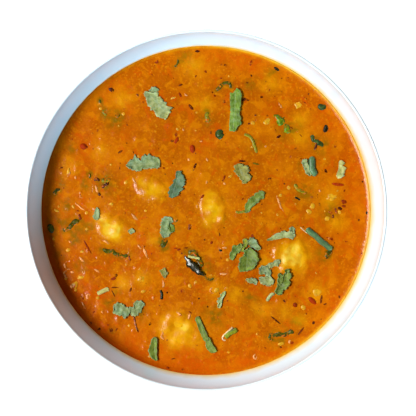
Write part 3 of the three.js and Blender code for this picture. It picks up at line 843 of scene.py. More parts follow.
def floor_material():
    """A plain pale floor, a little bright of itself, so that shadows on it stay faint."""
    recipe = new_recipe("pale_floor")
    return recipe.surface(
        Base_Color=recipe.mix(recipe.grain(0.4), (0.40, 0.40, 0.40), (0.42, 0.42, 0.42)),
        Roughness=0.7,
        Emission_Color=(1.0, 1.0, 1.0, 1.0),
        Emission_Strength=0.9,
        IOR=1.2,
    )


# ---------------------------------------------------------------------------------------------------------
# Mesh helpers
# ---------------------------------------------------------------------------------------------------------

SEAM = 0.002 * MM  # how close two points are that belong together


def finish_piece(bm, name, material, slot, replaces=(), smooth=True):
    """Turns a finished bmesh into a piece that rides on the bowl's body."""
    mesh = bpy.data.meshes.new(name)
    bm.to_mesh(mesh)
    bm.free()
    mesh.materials.append(material)
    mesh.shade_smooth() if smooth else mesh.shade_flat()
    piece = bpy.data.objects.new(name, mesh)
    bpy.context.scene.collection.objects.link(piece)
    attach(piece, "root")
    if replaces:
        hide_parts(*replaces)
    return piece


def new_tone_layer(bm):
    return bm.verts.layers.float_color.new("tone")


def millimetres(x, y):
    """A point on the stew in metres, from its place in millimetres."""
    return Vector((x, y, 0)) * MM


def seal(bm):
    """Closes the ends and seams of drawn-out tubes, drops their slivers and points their faces outwards."""
    bmesh.ops.remove_doubles(bm, verts=bm.verts, dist=SEAM)
    bmesh.ops.dissolve_degenerate(bm, dist=SEAM / 2, edges=bm.edges)
    bmesh.ops.recalc_face_normals(bm, faces=bm.faces)


CURVE_STEPS = 12


def curve_points(points, count):
    """`count` points evenly along a smooth curve through some points."""
    controls = [Vector(p) for p in points]
    if len(controls) == 2:
        return [controls[0].lerp(controls[1], i / (count - 1)) for i in range(count)]
    padded = [controls[0] * 2 - controls[1], *controls, controls[-1] * 2 - controls[-2]]
    dense = []
    for before, start, end, after in zip(padded, padded[1:], padded[2:], padded[3:]):
        for i in range(CURVE_STEPS):
            t = i / CURVE_STEPS
            dense.append(
                0.5
                * (
                    2 * start
                    + (end - before) * t
                    + (2 * before - 5 * start + 4 * end - after) * t**2
                    + (3 * start - before - 3 * end + after) * t**3
                )
            )
    dense.append(controls[-1])
    return evenly_spaced(dense, count)


def evenly_spaced(line, count):
    """`count` points at equal distances along a broken line."""
    spans = [(b - a).length for a, b in zip(line, line[1:])]
    step = sum(spans) / (count - 1)
    placed, run, i = [line[0].copy()], 0.0, 0
    for k in range(1, count - 1):
        while run + spans[i] < k * step:
            run += spans[i]
            i += 1
        placed.append(line[i].lerp(line[i + 1], (k * step - run) / spans[i]))
    placed.append(line[-1].copy())
    return placed


# ---------------------------------------------------------------------------------------------------------
# The stew's skin
# ---------------------------------------------------------------------------------------------------------


class Ripples:
    """A soft random relief of about unit size: seeded plane waves, added up."""

    def __init__(self, seed, shortest, longest, count=22):
        chooser = random.Random(seed)
        self.waves = []
        for _ in range(count):
            pace = TAU / (chooser.uniform(shortest, longest) * MM)
            heading = chooser.uniform(0, TAU)
            self.waves.append((pace * math.cos(heading), pace * math.sin(heading), chooser.uniform(0, TAU)))
        self.scale = math.sqrt(2 / count)

    def at(self, x, y):
        return self.scale * sum(np.sin(kx * x + ky * y + phase) for kx, ky, phase in self.waves)


# Each relief's seed, and its shortest and longest wave in millimetres.
SWELLS = Ripples(3, 16, 34)
LUMPY = Ripples(5, 4.5, 9)
MEALY = Ripples(8, 1.9, 3.4)
RAGGED = Ripples(11, 7, 14)

LENTIL_COUNT = 300
LENTIL_REACH = 71.5  # how far out the lentils lie, in millimetres
SWELL_HEIGHT = 0.1 * MM
LUMP_HEIGHT = 0.036 * MM
PEAK_HEIGHT = 0.06 * MM  # what the highest lumps stand up besides
MEAL_HEIGHT = 0.01 * MM
CALM_WIDTH = 7 * MM  # how far from the wall the relief is at its full height
DRAPE_SOFTNESS = 0.45 * MM  # how softly the skin rises over a chunk
DRAPE_LUMPS = 0.3 * MM  # how far a lump lifts the skin over a chunk


def stew_level():
    return STEW_BRIM - sizes().meniscus_rise


def wall_radius(height):
    """The inner wall's distance from the axis at a height. The wall is a quarter of an ellipse."""
    spring = BOWL_TOP - sizes().wall / 2
    share = 1 - (height - sizes().floor_top) / (spring - sizes().floor_top)
    return (RIM_RADIUS - sizes().wall) * math.sqrt(1 - share * share)


def sunken_lentils():
    """Places, radii and heights of the lentils that lift the skin, thicker towards the lower left."""
    chooser = random.Random(17)
    found = []
    while len(found) < LENTIL_COUNT:
        x, y = chooser.uniform(-72, 72), chooser.uniform(-72, 72)
        crowd = 0.55 - 0.3 * (x + y) / 100
        if math.hypot(x, y) < LENTIL_REACH and chooser.random() < crowd:
            radius = chooser.uniform(0.7, 1.3)
            rise = chooser.uniform(0.03, 0.14) * max(1.0, 2.2 * crowd)
            found.append((x * MM, y * MM, radius * MM, rise * MM))
    return found


class Skin:
    """The stew's upper surface as a height over any point."""

    def __init__(self):
        self.edge = wall_radius(STEW_BRIM)
        self.lentils = sunken_lentils()
        self.chunks = [chunk_tree(name) for name in POTATOES]

    def chunk_height(self, x, y):
        """The potato's height over points, or far below where there is none."""
        above = Vector((0, 0, 1))
        heights = np.full(np.shape(x), -1.0)
        for tree, low, high in self.chunks:
            near = np.argwhere((x > low.x) & (x < high.x) & (y > low.y) & (y < high.y)).ravel()
            for i in near:
                hit = tree.ray_cast(Vector((x[i], y[i], BOWL_TOP)), -above)[0]
                if hit:
                    heights[i] = max(heights[i], hit.z)
        return heights

    def height(self, x, y):
        """The height of the skin over points, given as arrays in metres."""
        x, y = np.atleast_1d(np.asarray(x, float)), np.atleast_1d(np.asarray(y, float))
        inset = np.maximum(self.edge - np.hypot(x, y), 0)
        creep = sizes().meniscus_rise * np.exp(-inset / sizes().meniscus_width)
        calm = np.clip(inset / CALM_WIDTH, 0, 1)
        lumps = LUMPY.at(x, y)
        relief = SWELL_HEIGHT * SWELLS.at(x, y)
        relief += LUMP_HEIGHT * lumps + PEAK_HEIGHT * np.maximum(lumps - 1, 0)
        relief += MEAL_HEIGHT * MEALY.at(x, y)
        for lentil_x, lentil_y, radius, rise in self.lentils:
            share = ((x - lentil_x) ** 2 + (y - lentil_y) ** 2) / radius**2
            relief += rise * np.where(share < 1, (1 - np.minimum(share, 1)) ** 2, 0)
        return self.draped(x, y, stew_level() + creep + calm * relief)

    def draped(self, x, y, level):
        """The level, softly raised where a potato lies under it."""
        lumps = LUMPY.at(x, y)
        chunk = self.chunk_height(x, y) + DRAPE_LUMPS * lumps
        emerging = np.clip((chunk - level) / MM, -1, 1) - 0.5 + 0.8 * lumps
        over = np.clip((chunk - sizes().film * emerging - level) / DRAPE_SOFTNESS, -40, 40)
        return level + DRAPE_SOFTNESS * np.log1p(np.exp(over))

    def height_at(self, x, y):
        return float(self.height(x, y)[0])


def chunk_tree(name):
    """A potato's mesh for finding its height, and its box."""
    low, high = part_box(name)
    bm = potato_bmesh(name)
    tree = BVHTree.FromBMesh(bm)
    bm.free()
    return tree, low, high


def haze(x, y, spots):
    """How strongly the spots tint each point: 1 in the middle of a spot, fading out to nothing."""
    total = np.zeros(np.shape(x))
    for spot_x, spot_y, radius in spots:
        share = ((x - spot_x * MM) ** 2 + (y - spot_y * MM) ** 2) / (radius * MM) ** 2
        total += np.exp(-share)
    return np.clip(total, 0, 1)


HAZE_BEYOND = 0.6  # how much wider than a herb its haze is, in millimetres


def herb_hazes():
    """A spot of haze under each stretch of the wilted herbs."""
    green = [herb for herb in HERBS if herb["tone"] in {"wilted", "olive", "glassy"}]
    spots = [(herb["radius"] + HAZE_BEYOND, curve_points(herb["path"], 5)) for herb in green]
    return [(*point, radius) for radius, points in spots for point in points]


GLOW, GLOW_REACH = 0.3, 0.6  # how strong the glow is, and the square of its reach in half lengths
PATCH_RAGGED = 0.1  # how ragged the patches' outlines are
PATCH_REACH, PATCH_FADE = 1.5, 1.5  # how many radii a patch reaches, and how it fades out


def chunk_glow(x, y):
    """How yellow the stew is over and round the potatoes: a faint glow, and strong patches."""
    total = np.zeros(np.shape(x))
    for name in POTATOES:
        low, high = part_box(name)
        middle, half = (low + high) / 2, (high - low) / 2
        away = np.hypot((x - middle.x) / half.x, (y - middle.y) / half.y)
        total += GLOW * np.exp(-(away**2) / GLOW_REACH)
    for patch_x, patch_y, radius, strength in YELLOW_PATCHES:
        share = np.hypot(x - patch_x * MM, y - patch_y * MM) / (radius * MM)
        share = share + PATCH_RAGGED * RAGGED.at(x, y)
        total += strength * np.clip(PATCH_REACH - share, 0, 1) ** PATCH_FADE
    return np.clip(total, 0, 1)


# ---------------------------------------------------------------------------------------------------------
# Pieces
# ---------------------------------------------------------------------------------------------------------

FOOT_EDGE = 0.6 * MM  # the bevel of the foot ring's edges
FOOT_TAPER = 1.2 * MM  # how much further out the foot ring is where it meets the wall
FOOT_ROUNDING = 0.2 * MM
RECESS_ROUNDING = 0.3 * MM
SPIN_STEPS = 192
WALL_STEPS = 44
LIP_STEPS = 12


def quarter_wall(radius, bottom, top, start, steps):
    """Points up a wall that is a quarter of an ellipse, from `start` of its angle to its upright end."""
    points = []
    for i in range(steps + 1):
        angle = (start + (1 - start) * i / steps) * math.pi / 2
        points.append((radius * math.sin(angle), bottom + (top - bottom) * (1 - math.cos(angle))))
    return points


def bowl_profile():
    """The bowl's section from the middle of its underside, over the lip, to that of its inner floor."""
    size = sizes()
    lip = size.lip / 2
    spring = BOWL_TOP - lip
    recess = size.foot_radius - size.foot_width
    profile = [
        (0, size.floor_underside),
        (recess - 2 * FOOT_TAPER, size.floor_underside),
        (recess - FOOT_TAPER, size.floor_underside - RECESS_ROUNDING),
        (recess, FOOT_EDGE),
        (recess + FOOT_ROUNDING, FOOT_ROUNDING),
        (recess + FOOT_EDGE, 0),
        (size.foot_radius - FOOT_EDGE, 0),
        (size.foot_radius - FOOT_ROUNDING, FOOT_ROUNDING),
        (size.foot_radius, FOOT_EDGE),
    ]
    start = math.asin((size.foot_radius + FOOT_TAPER) / RIM_RADIUS) / (math.pi / 2)
    profile += quarter_wall(RIM_RADIUS, size.floor_underside, spring, start, WALL_STEPS)
    for i in range(1, LIP_STEPS):
        angle = math.pi * i / LIP_STEPS
        profile.append((RIM_RADIUS - lip + lip * math.cos(angle), spring + lip * math.sin(angle)))
    inner = quarter_wall(RIM_RADIUS - size.wall, size.floor_top, BOWL_TOP - size.wall / 2, 0, WALL_STEPS)
    for radius, height in inner[::-1]:
        share = max(0, (height - stew_level()) / (spring - stew_level()))
        thinned = (size.wall - size.lip) * share * share * (3 - 2 * share)
        profile.append((radius + thinned, height))
    return profile


def bowl_bmesh():
    bm = bmesh.new()
    verts = [bm.verts.new((radius, 0, height)) for radius, height in bowl_profile()]
    edges = [bm.edges.new(pair) for pair in zip(verts, verts[1:])]
    bmesh.ops.spin(
        bm, geom=verts + edges, cent=(0, 0, 0), axis=(0, 0, 1), angle=TAU, steps=SPIN_STEPS, use_merge=True
    )
    bmesh.ops.remove_doubles(bm, verts=bm.verts, dist=0.005 * MM)
    bmesh.ops.recalc_face_normals(bm, faces=bm.faces)
    return bm


SKIN_RINGS = 158
SKIRT_STEPS = 9
HEXAGON = 6


def round_off(bm, radius):
    """Draws a finely divided hexagon out into a disc, ring by ring."""
    corner = TAU / HEXAGON
    for vert in bm.verts:
        angle = math.atan2(vert.co.y, vert.co.x) % TAU
        reach = vert.co.to_2d().length
        sector, within = divmod(angle, corner)
        ring = reach * math.cos(within - corner / 2) / math.cos(corner / 2)
        along = 0.5 + math.tan(within - corner / 2) / (2 * math.tan(corner / 2))
        turned = (sector + along) * corner
        vert.co = Vector((math.cos(turned), math.sin(turned), 0)) * ring * radius


def stew_bmesh(skin):
    """The stew: a finely divided disc, and a skirt that follows the inner wall down to the floor."""
    bm = bmesh.new()
    bmesh.ops.create_circle(bm, cap_ends=True, cap_tris=True, segments=HEXAGON, radius=1)
    corner = next(vert for vert in bm.verts if vert.co.length > 0.5)
    start = math.atan2(corner.co.y, corner.co.x)
    bmesh.ops.subdivide_edges(bm, edges=bm.edges, cuts=SKIN_RINGS - 1, use_grid_fill=True)
    for vert in bm.verts:
        vert.co.rotate(turn_about_z(-start))
    round_off(bm, skin.edge)
    bm.verts.ensure_lookup_table()
    places = np.array([vert.co[:2] for vert in bm.verts])
    heights = skin.height(places[:, 0], places[:, 1])
    for vert, height in zip(bm.verts, heights):
        vert.co.z = height
    rim = [edge for edge in bm.edges if edge.is_boundary]
    bite = 0.25 * MM
    for step in range(1, SKIRT_STEPS + 1):
        share = step / SKIRT_STEPS
        height = STEW_BRIM + (STEW_FLOOR - STEW_BRIM) * math.sin(share * math.pi / 2) ** 2
        ring = bmesh.ops.extrude_edge_only(bm, edges=rim)["geom"]
        rim = [item for item in ring if isinstance(item, bmesh.types.BMEdge)]
        for vert in {vert for edge in rim for vert in edge.verts}:
            heading = vert.co.to_2d().normalized() * (wall_radius(height) + bite)
            vert.co = (heading.x, heading.y, height)
    bmesh.ops.contextual_create(bm, geom=rim)
    bmesh.ops.recalc_face_normals(bm, faces=bm.faces)
    return bm


def turn_about_z(angle):
    return Matrix.Rotation(angle, 3, "Z")


def oily_edge(x, y):
    """How red and dark the stew is near the wall: red oil all round, and painted shade most towards the
    lower left.
    """
    inset = np.maximum(wall_radius(STEW_BRIM) - np.hypot(x, y), 0)
    towards = np.cos(np.arctan2(y, x) - math.radians(215))
    return (0.25 + 0.75 * np.clip(towards, 0, 1)) * np.exp(-inset / (4 * MM))


def thin_edge(x, y):
    """How yellow the stew's thin edge is: a yellow film, and painted light on the side facing the lamp."""
    inset = wall_radius(STEW_BRIM) - np.hypot(x, y)
    towards = np.cos(np.arctan2(y, x) - math.radians(15))
    return np.clip(towards + 0.45, 0, 1) * np.exp(-((inset / (0.9 * MM)) ** 2)) * 1.4


YELLOW_STRENGTH, RED_STRENGTH = 0.42, 0.8  # how strongly the free-standing hazes tint the stew


def add_hazes(piece, bareness=None):
    """Gives a piece's points their tints: yellow round potato, red with oil, olive over sunken herbs.

    On the stew the yellow also holds painted light on its thin edge, and the olive holds painted shade
    along its left side. The fourth tint is how bare a chunk's top is, or, on the stew, how red and dark
    it is along the wall, with oil and with painted shade towards the lower left.
    """
    mesh = piece.data
    points = np.empty(len(mesh.vertices) * 3, np.float32)
    mesh.vertices.foreach_get("co", points)
    x, y = points[0::3].astype(float), points[1::3].astype(float)
    yellow = np.maximum(chunk_glow(x, y), haze(x, y, YELLOW_HAZES) * YELLOW_STRENGTH)
    # The thin edge's yellow is partly painted light, strongest on the side that faces the key lamp.
    yellow = np.maximum(yellow, thin_edge(x, y))
    red = haze(x, y, RED_HAZES) * RED_STRENGTH
    olive = np.maximum(haze(x, y, OLIVE_HAZES), haze(x, y, herb_hazes()))
    last = oily_edge(x, y) if bareness is None else np.full_like(x, bareness)
    tints = np.stack([yellow, red, olive, last], 1)
    layer = mesh.attributes.new("hazes", "FLOAT_COLOR", "POINT")
    layer.data.foreach_set("color", tints.astype(np.float32).ravel())


SLUMP = 0.12  # the share of its height over the stew that a soft chunk keeps


def potato_bmesh(name):
    """A chunk of boiled potato: the frame's chunk, made fine, soft and a little crumbled."""
    bm = bmesh.new()
    bm.from_mesh(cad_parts[name].data)
    bmesh.ops.remove_doubles(bm, verts=bm.verts, dist=0.01 * MM)
    bmesh.ops.subdivide_edges(bm, edges=bm.edges, cuts=4, use_grid_fill=True)
    for _ in range(10):
        bmesh.ops.smooth_vert(
            bm, verts=bm.verts, factor=0.5, use_axis_x=True, use_axis_y=True, use_axis_z=True
        )
    bm.normal_update()
    for vert in bm.verts:
        crumble = noise.noise(vert.co / (3.4 * MM)) * 0.28 + noise.noise(vert.co / (1.3 * MM)) * 0.1
        vert.co += vert.normal * crumble * MM
        vert.co.z = min(vert.co.z, stew_level() + (vert.co.z - stew_level()) * SLUMP)
    bmesh.ops.recalc_face_normals(bm, faces=bm.faces)
    return bm


LEAF_ALONG = 60
LEAF_ACROSS = 12
TOOTH_LENGTH = 1.7
TOOTH_DEPTH = 0.75
CRINKLE_HEIGHT = 0.12
LEAF_REST, LEAF_LEAST = 0.42, 0.1  # a flat leaf's height over the stew, and the least height of any point


def toothed(side, rib, step):
    """How far a leaf's margin stands out at a step, as a share of its half width: teeth and tears."""
    arc = sum((b - a).length for a, b in zip(side[:step], side[1 : step + 1]))
    jitter = 1.2 * noise.noise(side[step].to_3d() * 0.45)
    tooth = abs((arc / TOOTH_LENGTH + jitter) % 1 - 0.4) * 2 - 0.6
    cleft = max(0, noise.noise(side[step].to_3d() * 0.55 + Vector((0, 0, 3))) - 0.1) * 4
    half_width = max((side[step] - rib[step]).length, 1.0)
    return -min((TOOTH_DEPTH * tooth + cleft) / half_width, 0.75)


def add_leaf(bm, skin, leaf, layers):
    """One leaf: a grid drawn out between its margins, laid on the stew and bent."""
    tone_layer, blade_layer = layers
    grid = bmesh.ops.create_grid(bm, x_segments=LEAF_ALONG, y_segments=LEAF_ACROSS, size=1)["verts"]
    count = LEAF_ALONG + 1
    rib = curve_points([leaf["base"], leaf["tip"]], count)
    sides = {
        1: curve_points([leaf["base"], *leaf["left"], leaf["tip"]], count),
        -1: curve_points([leaf["base"], *leaf["right"], leaf["tip"]], count),
    }
    teeth = {side > 0: [toothed(sides[side], rib, step) for step in range(count)] for side in sides}
    start_tone, tone = Vector(TONES["lime"]), Vector(TONES[leaf["tone"]])
    crinkle = Ripples(int(abs(leaf["base"][0]) * 10), 2.5, 5, 8)
    cells = {}
    for vert in grid:
        along, across = (vert.co.x + 1) / 2, vert.co.y
        step = min(LEAF_ALONG, round(along * LEAF_ALONG))
        side = sides[1] if across >= 0 else sides[-1]
        tear = teeth[across >= 0][step] * leaf["teeth"]
        place = rib[step].lerp(side[step], abs(across) * (1 + tear * abs(across) ** 3)) * MM
        cells[vert] = (along, across, place)
    heights = skin.height([c[2].x for c in cells.values()], [c[2].y for c in cells.values()])
    for (vert, (along, across, place)), height in zip(cells.items(), heights):
        bend = leaf["cup"] * across**2 + leaf["roll"] * across / 2 + leaf["pitch"] * (along - 0.5)
        bend += leaf["crease"] * abs(across) + leaf["lift"]
        bend += CRINKLE_HEIGHT * float(crinkle.at(place.x, place.y))
        vert.co = (place.x, place.y, height + max(bend + LEAF_REST, LEAF_LEAST) * MM)
        share = min(along / leaf["pale_from"], 1) if leaf["pale_from"] else 1
        shade = 0.85 + 0.35 * noise.noise(Vector((place.x, place.y, 0)) / (3.2 * MM))
        vert[tone_layer] = start_tone.lerp(tone, share) * shade
    faces = {face for vert in grid for face in vert.link_faces}
    for face in faces:
        for loop in face.loops:
            loop[blade_layer].uv = cells[loop.vert][:2]
        face.normal_update()
    if sum(face.normal.z for face in faces) < 0:
        bmesh.ops.reverse_faces(bm, faces=list(faces))


def leaves_bmesh(skin):
    bm = bmesh.new()
    layers = (new_tone_layer(bm), bm.loops.layers.uv.new("blade"))
    for leaf in LEAVES:
        add_leaf(bm, skin, leaf, layers)
    bmesh.ops.dissolve_degenerate(bm, dist=SEAM, edges=bm.edges)
    return bm


STRAND_AROUND = 12
STRAND_POINTS = 25


def add_strand(bm, skin, strand, layer, rise=0.5, roughness=0.0, seed=1):
    """One stem or wilted herb: a tube along its path, with `rise` of its height above the stew."""
    path = [millimetres(*p) for p in curve_points(strand["path"], STRAND_POINTS)]
    radius, flat = strand["radius"] * MM, strand["flat"]
    reach = sum((b - a).length for a, b in zip(path, path[1:]))
    grid = bmesh.ops.create_grid(bm, x_segments=len(path) - 1, y_segments=STRAND_AROUND, size=1)["verts"]
    heights = skin.height([p.x for p in path], [p.y for p in path])
    tone = Vector(TONES[strand["tone"]])
    for vert in grid:
        step = round((vert.co.x + 1) / 2 * (len(path) - 1))
        around = math.pi * vert.co.y
        heading = (path[min(step + 1, len(path) - 1)] - path[max(step - 1, 0)]).normalized()
        beside = Vector((-heading.y, heading.x, 0))
        from_end = min(step, len(path) - 1 - step) / (len(path) - 1) * reach
        roundness = 0.25 * radius if strand["blunt"] else 1.3 * radius
        taper = math.sqrt(max(0, 1 - (1 - min(1, from_end / roundness)) ** 2))
        if strand["spindle"]:
            taper = math.sin(math.pi * step / (len(path) - 1)) ** 0.8
        middle = path[step] + Vector((0, 0, heights[step] + radius * flat * (2 * rise - 1)))
        middle.z += (strand["lift"] + strand["climb"] * step / (len(path) - 1)) * MM
        spread = radius * taper
        if roughness:
            knot = noise.noise(path[step] / (2.2 * MM) + Vector((0, 0, seed * 7 + math.sin(around) * 0.9)))
            spread *= 1 + roughness * knot
            wander = noise.noise(path[step] / (2.2 * MM) + Vector((0, 0, seed)))
            middle += beside * roughness * radius * wander * 1.5
        vert.co = middle + beside * math.sin(around) * spread
        vert.co.z += math.cos(around) * spread * flat + math.sin(around) * spread * strand["tilt"]
        streak = noise.noise(path[step] / (5 * MM) + Vector((0, 0, seed + 1.3 * math.sin(around))))
        # The sine round the tube makes its top and one side lighter and its other side and underside darker:
        # painted light and painted shade. The streaks are the tone's own.
        vert[layer] = tone * (0.95 + 0.2 * math.sin(around + 2) + 0.5 * streak)
    return grid


def strands_bmesh(skin, strands, rise, roughness):
    bm = bmesh.new()
    layer = new_tone_layer(bm)
    for seed, strand in enumerate(strands):
        add_strand(bm, skin, strand, layer, rise, roughness, seed)
    seal(bm)
    return bm


def egg(bm, middle, half, turn, segments=10, rings=6):
    """A small egg shape about a point."""
    matrix = Matrix.Translation(middle) @ Matrix.Rotation(turn, 4, "Z") @ Matrix.Diagonal((*half, 1))
    ball = bmesh.ops.create_uvsphere(bm, u_segments=segments, v_segments=rings, radius=1, matrix=matrix)
    return ball["verts"]


def loose_lentils_bmesh(skin):
    """Split lentils and soft lumps that stand a little out of the stew."""
    bm = bmesh.new()
    layer = new_tone_layer(bm)
    for x, y, half_length, half_width, turn in LUMPS:
        top = skin.height_at(x * MM, y * MM)
        half = (half_length * MM, half_width * MM, 0.6 * MM)
        verts = egg(bm, (x * MM, y * MM, top - 0.28 * MM), half, math.radians(turn), 20, 12)
        for vert in verts:
            away = Vector((vert.co.x - x * MM, vert.co.y - y * MM, 0))
            vert.co += away * noise.noise(vert.co / (1.1 * MM)) * 0.6
            vert[layer] = TONES["pale_lentil"]
    chooser = random.Random(23)
    for lentil_x, lentil_y, radius, _ in skin.lentils[::6]:
        top = skin.height_at(lentil_x, lentil_y)
        half = (radius * chooser.uniform(0.8, 1.1), radius * chooser.uniform(0.7, 1), 0.5 * MM)
        middle = (lentil_x, lentil_y, top - chooser.uniform(0.36, 0.47) * MM)
        for vert in egg(bm, middle, half, chooser.uniform(0, TAU)):
            vert[layer] = (*colours().lentil, 1.0)
    return bm


def husks_bmesh(skin):
    """Rolled lentil husks: thin curls that lie half sunk, pale partly as a painted highlight."""
    bm = bmesh.new()
    layer = new_tone_layer(bm)
    TONES["husk"] = (*colours().husk, 1.0)
    for path in HUSKS:
        husk = strand("husk", sizes().husk_radius / MM, *path, flat=0.45, spindle=True)
        add_strand(bm, skin, husk, layer, rise=0.55, roughness=0.7, seed=len(bm.verts))
    seal(bm)
    return bm


SLIVER_COUNT = 30
SPECK_COUNT = 150


def seeds_bmesh(skin):
    """Cumin and slivers of spice, pointed at both ends and half sunk."""
    bm = bmesh.new()
    layer = new_tone_layer(bm)
    chooser = random.Random(29)
    listed = [((start, end), radius, tone) for tone, radius, start, end in SEEDS]
    while len(listed) < len(SEEDS) + SLIVER_COUNT:
        x, y, turn = chooser.uniform(-70, 70), chooser.uniform(-70, 70), chooser.uniform(0, TAU)
        reach = chooser.uniform(0.5, 1.1)
        step = (reach * math.cos(turn), reach * math.sin(turn))
        if math.hypot(x, y) < 70:
            ends = [(x - step[0], y - step[1]), (x + step[0], y + step[1])]
            listed.append((ends, chooser.uniform(0.2, 0.35), chooser.choice(["red_brown", "brown"])))
    for ends, radius, tone in listed:
        start, end = (Vector(point) * MM for point in ends)
        middle = (start + end) / 2
        along = (end - start) / 2
        top = skin.height_at(middle.x, middle.y)
        place = (middle.x, middle.y, top - 0.1 * radius * MM)
        half = (along.length, radius * MM, 0.7 * radius * MM)
        for vert in egg(bm, place, half, math.atan2(along.y, along.x), rings=8):
            vert[layer] = TONES[tone]
    return bm


def flakes_bmesh(skin):
    """Flakes of chilli and tomato skin: small uneven discs that lie flat on the stew."""
    bm = bmesh.new()
    layer = new_tone_layer(bm)
    chooser = random.Random(31)
    listed = list(FLAKES)
    while len(listed) < len(FLAKES) + SPECK_COUNT:
        x, y = chooser.uniform(-73, 73), chooser.uniform(-73, 73)
        if math.hypot(x, y) < 72.5:
            listed.append((x, y, chooser.uniform(0.12, 0.36)))
    for x, y, radius in listed:
        add_flake(bm, skin, chooser, millimetres(x, y), radius * MM, layer)
    return bm


def add_flake(bm, skin, chooser, middle, radius, layer):
    ring = bmesh.ops.create_circle(bm, cap_ends=True, segments=8, radius=1)["verts"]
    stretch, turn = chooser.uniform(0.6, 1.0), chooser.uniform(0, TAU)
    tone = TONES[chooser.choice(["red_brown", "red_brown", "brown", "dark_seed"])]
    middle.z = skin.height_at(middle.x, middle.y)
    tilt = (chooser.uniform(-0.25, 0.25), chooser.uniform(-0.25, 0.25))
    for vert in ring:
        out = vert.co * radius * chooser.uniform(0.75, 1.2)
        out.y *= stretch
        out.rotate(turn_about_z(turn))
        vert.co = middle + out + Vector((0, 0, 0.1 * MM + out.x * tilt[0] + out.y * tilt[1]))
    top = next(iter(ring[0].link_faces))
    if top.normal.z < 0:
        top.normal_flip()
    walls = bmesh.ops.extrude_face_region(bm, geom=[top], use_keep_orig=True)["geom"]
    lowered = [item for item in walls if isinstance(item, bmesh.types.BMVert)]
    for vert in lowered:
        vert.co.z -= 0.35 * MM
    island = {face for vert in [*ring, *lowered] for face in vert.link_faces}
    bmesh.ops.recalc_face_normals(bm, faces=list(island))
    for vert in [*ring, *lowered]:
        vert[layer] = tone


# ---------------------------------------------------------------------------------------------------------
# Operators
# ---------------------------------------------------------------------------------------------------------

shared = {}


def skin_of_stew():
    """The stew's skin, worked out once."""
    if "skin" not in shared:
        shared["skin"] = Skin()
    return shared["skin"]


class DAL_OT_bowl(bpy.types.Operator):
    """Make the white bowl"""

    bl_idname = "dal.bowl"
    bl_label = "Bowl"

    def execute(self, context):
        finish_piece(bowl_bmesh(), "white_bowl", glaze_material(), "bowl_glaze", ["bowl"])
        return {"FINISHED"}


class DAL_OT_stew(bpy.types.Operator):
    """Make the stew that fills the bowl"""

    bl_idname = "dal.stew"
    bl_label = "Stew"

    def execute(self, context):
        stew = stew_bmesh(skin_of_stew())
        add_hazes(finish_piece(stew, "lentil_stew", gravy_material(), "dal_gravy", ["dal"]))
        return {"FINISHED"}


class DAL_OT_potatoes(bpy.types.Operator):
    """Make the chunks of boiled potato"""

    bl_idname = "dal.potatoes"
    bl_label = "Potatoes"

    def execute(self, context):
        material = potato_material()
        for name in POTATOES:
            chunk = name.replace("potato", "boiled_chunk")
            piece = finish_piece(potato_bmesh(name), chunk, material, "boiled_potato", [name])
            add_hazes(piece, BARENESS[name])
        return {"FINISHED"}


class DAL_OT_lentils(bpy.types.Operator):
    """Make the lentils, soft lumps and rolled husks"""

    bl_idname = "dal.lentils"
    bl_label = "Lentils"

    def execute(self, context):
        skin = skin_of_stew()
        lentil = toned_material("lentil")
        finish_piece(loose_lentils_bmesh(skin), "loose_lentils", lentil, "lentil")
        husk = toned_material("lentil_husk")
        finish_piece(husks_bmesh(skin), "rolled_husks", husk, "lentil")
        return {"FINISHED"}


class DAL_OT_leaves(bpy.types.Operator):
    """Make the coriander leaves"""

    bl_idname = "dal.leaves"
    bl_label = "Leaves"

    def execute(self, context):
        piece = finish_piece(
            leaves_bmesh(skin_of_stew()), "coriander_leaves", leaf_material(), "coriander_leaf"
        )
        wall = piece.modifiers.new("Thickness", "SOLIDIFY")
        wall.thickness = sizes().leaf_thickness
        wall.offset = -1
        return {"FINISHED"}


class DAL_OT_stems(bpy.types.Operator):
    """Make the coriander stems"""

    bl_idname = "dal.stems"
    bl_label = "Stems"

    def execute(self, context):
        stems = strands_bmesh(skin_of_stew(), STEMS, rise=0.75, roughness=0.16)
        finish_piece(stems, "coriander_stems", toned_material("coriander_stem"), "coriander_stem")
        return {"FINISHED"}


class DAL_OT_herbs(bpy.types.Operator):
    """Make the wilted herbs"""

    bl_idname = "dal.herbs"
    bl_label = "Herbs"

    def execute(self, context):
        herbs = strands_bmesh(skin_of_stew(), HERBS, rise=0.4, roughness=0.45)
        finish_piece(herbs, "wilted_herbs", toned_material("wilted_herb"), "cooked_herb")
        curl = strands_bmesh(skin_of_stew(), [CURL], rise=0.5, roughness=0.3)
        finish_piece(curl, "black_curl", toned_material("shiny_leaf"), "cooked_herb")
        return {"FINISHED"}


class DAL_OT_spices(bpy.types.Operator):
    """Make the seeds and the flakes of chilli skin"""

    bl_idname = "dal.spices"
    bl_label = "Spices"

    def execute(self, context):
        skin = skin_of_stew()
        seed = toned_material("cumin_seed")
        finish_piece(seeds_bmesh(skin), "cumin_seeds", seed, "cumin_seed")
        flake = toned_material("chilli_skin")
        finish_piece(flakes_bmesh(skin), "chilli_flakes", flake, "chilli_skin", smooth=False)
        return {"FINISHED"}


CAMERA_HEIGHT = 0.664
CAMERA_LENS = 117.8
SENSOR_WIDTH = 36.0

CEILING_LIGHT = (0.01, 0.01, 0.01)
WALL_LIGHT = (0.6, 0.3, 0.15)
BACKDROP = (0.86, 0.87, 0.88)

# Each lamp's name, its heading and height over the horizon in degrees, its distance, width and height in
# metres, its power in watts and its tint.
LAMPS = [
    ("key", 190, 57, 0.9, 0.36, 0.19, 9.8, (0.9, 0.91, 0.9)),
    ("cool", 284, 18, 1.1, 0.7, 0.3, 12.5, (0.22, 0.67, 1)),
    ("back", 120, 18, 1.1, 0.7, 0.3, 9, (0.33, 0.75, 1)),
]


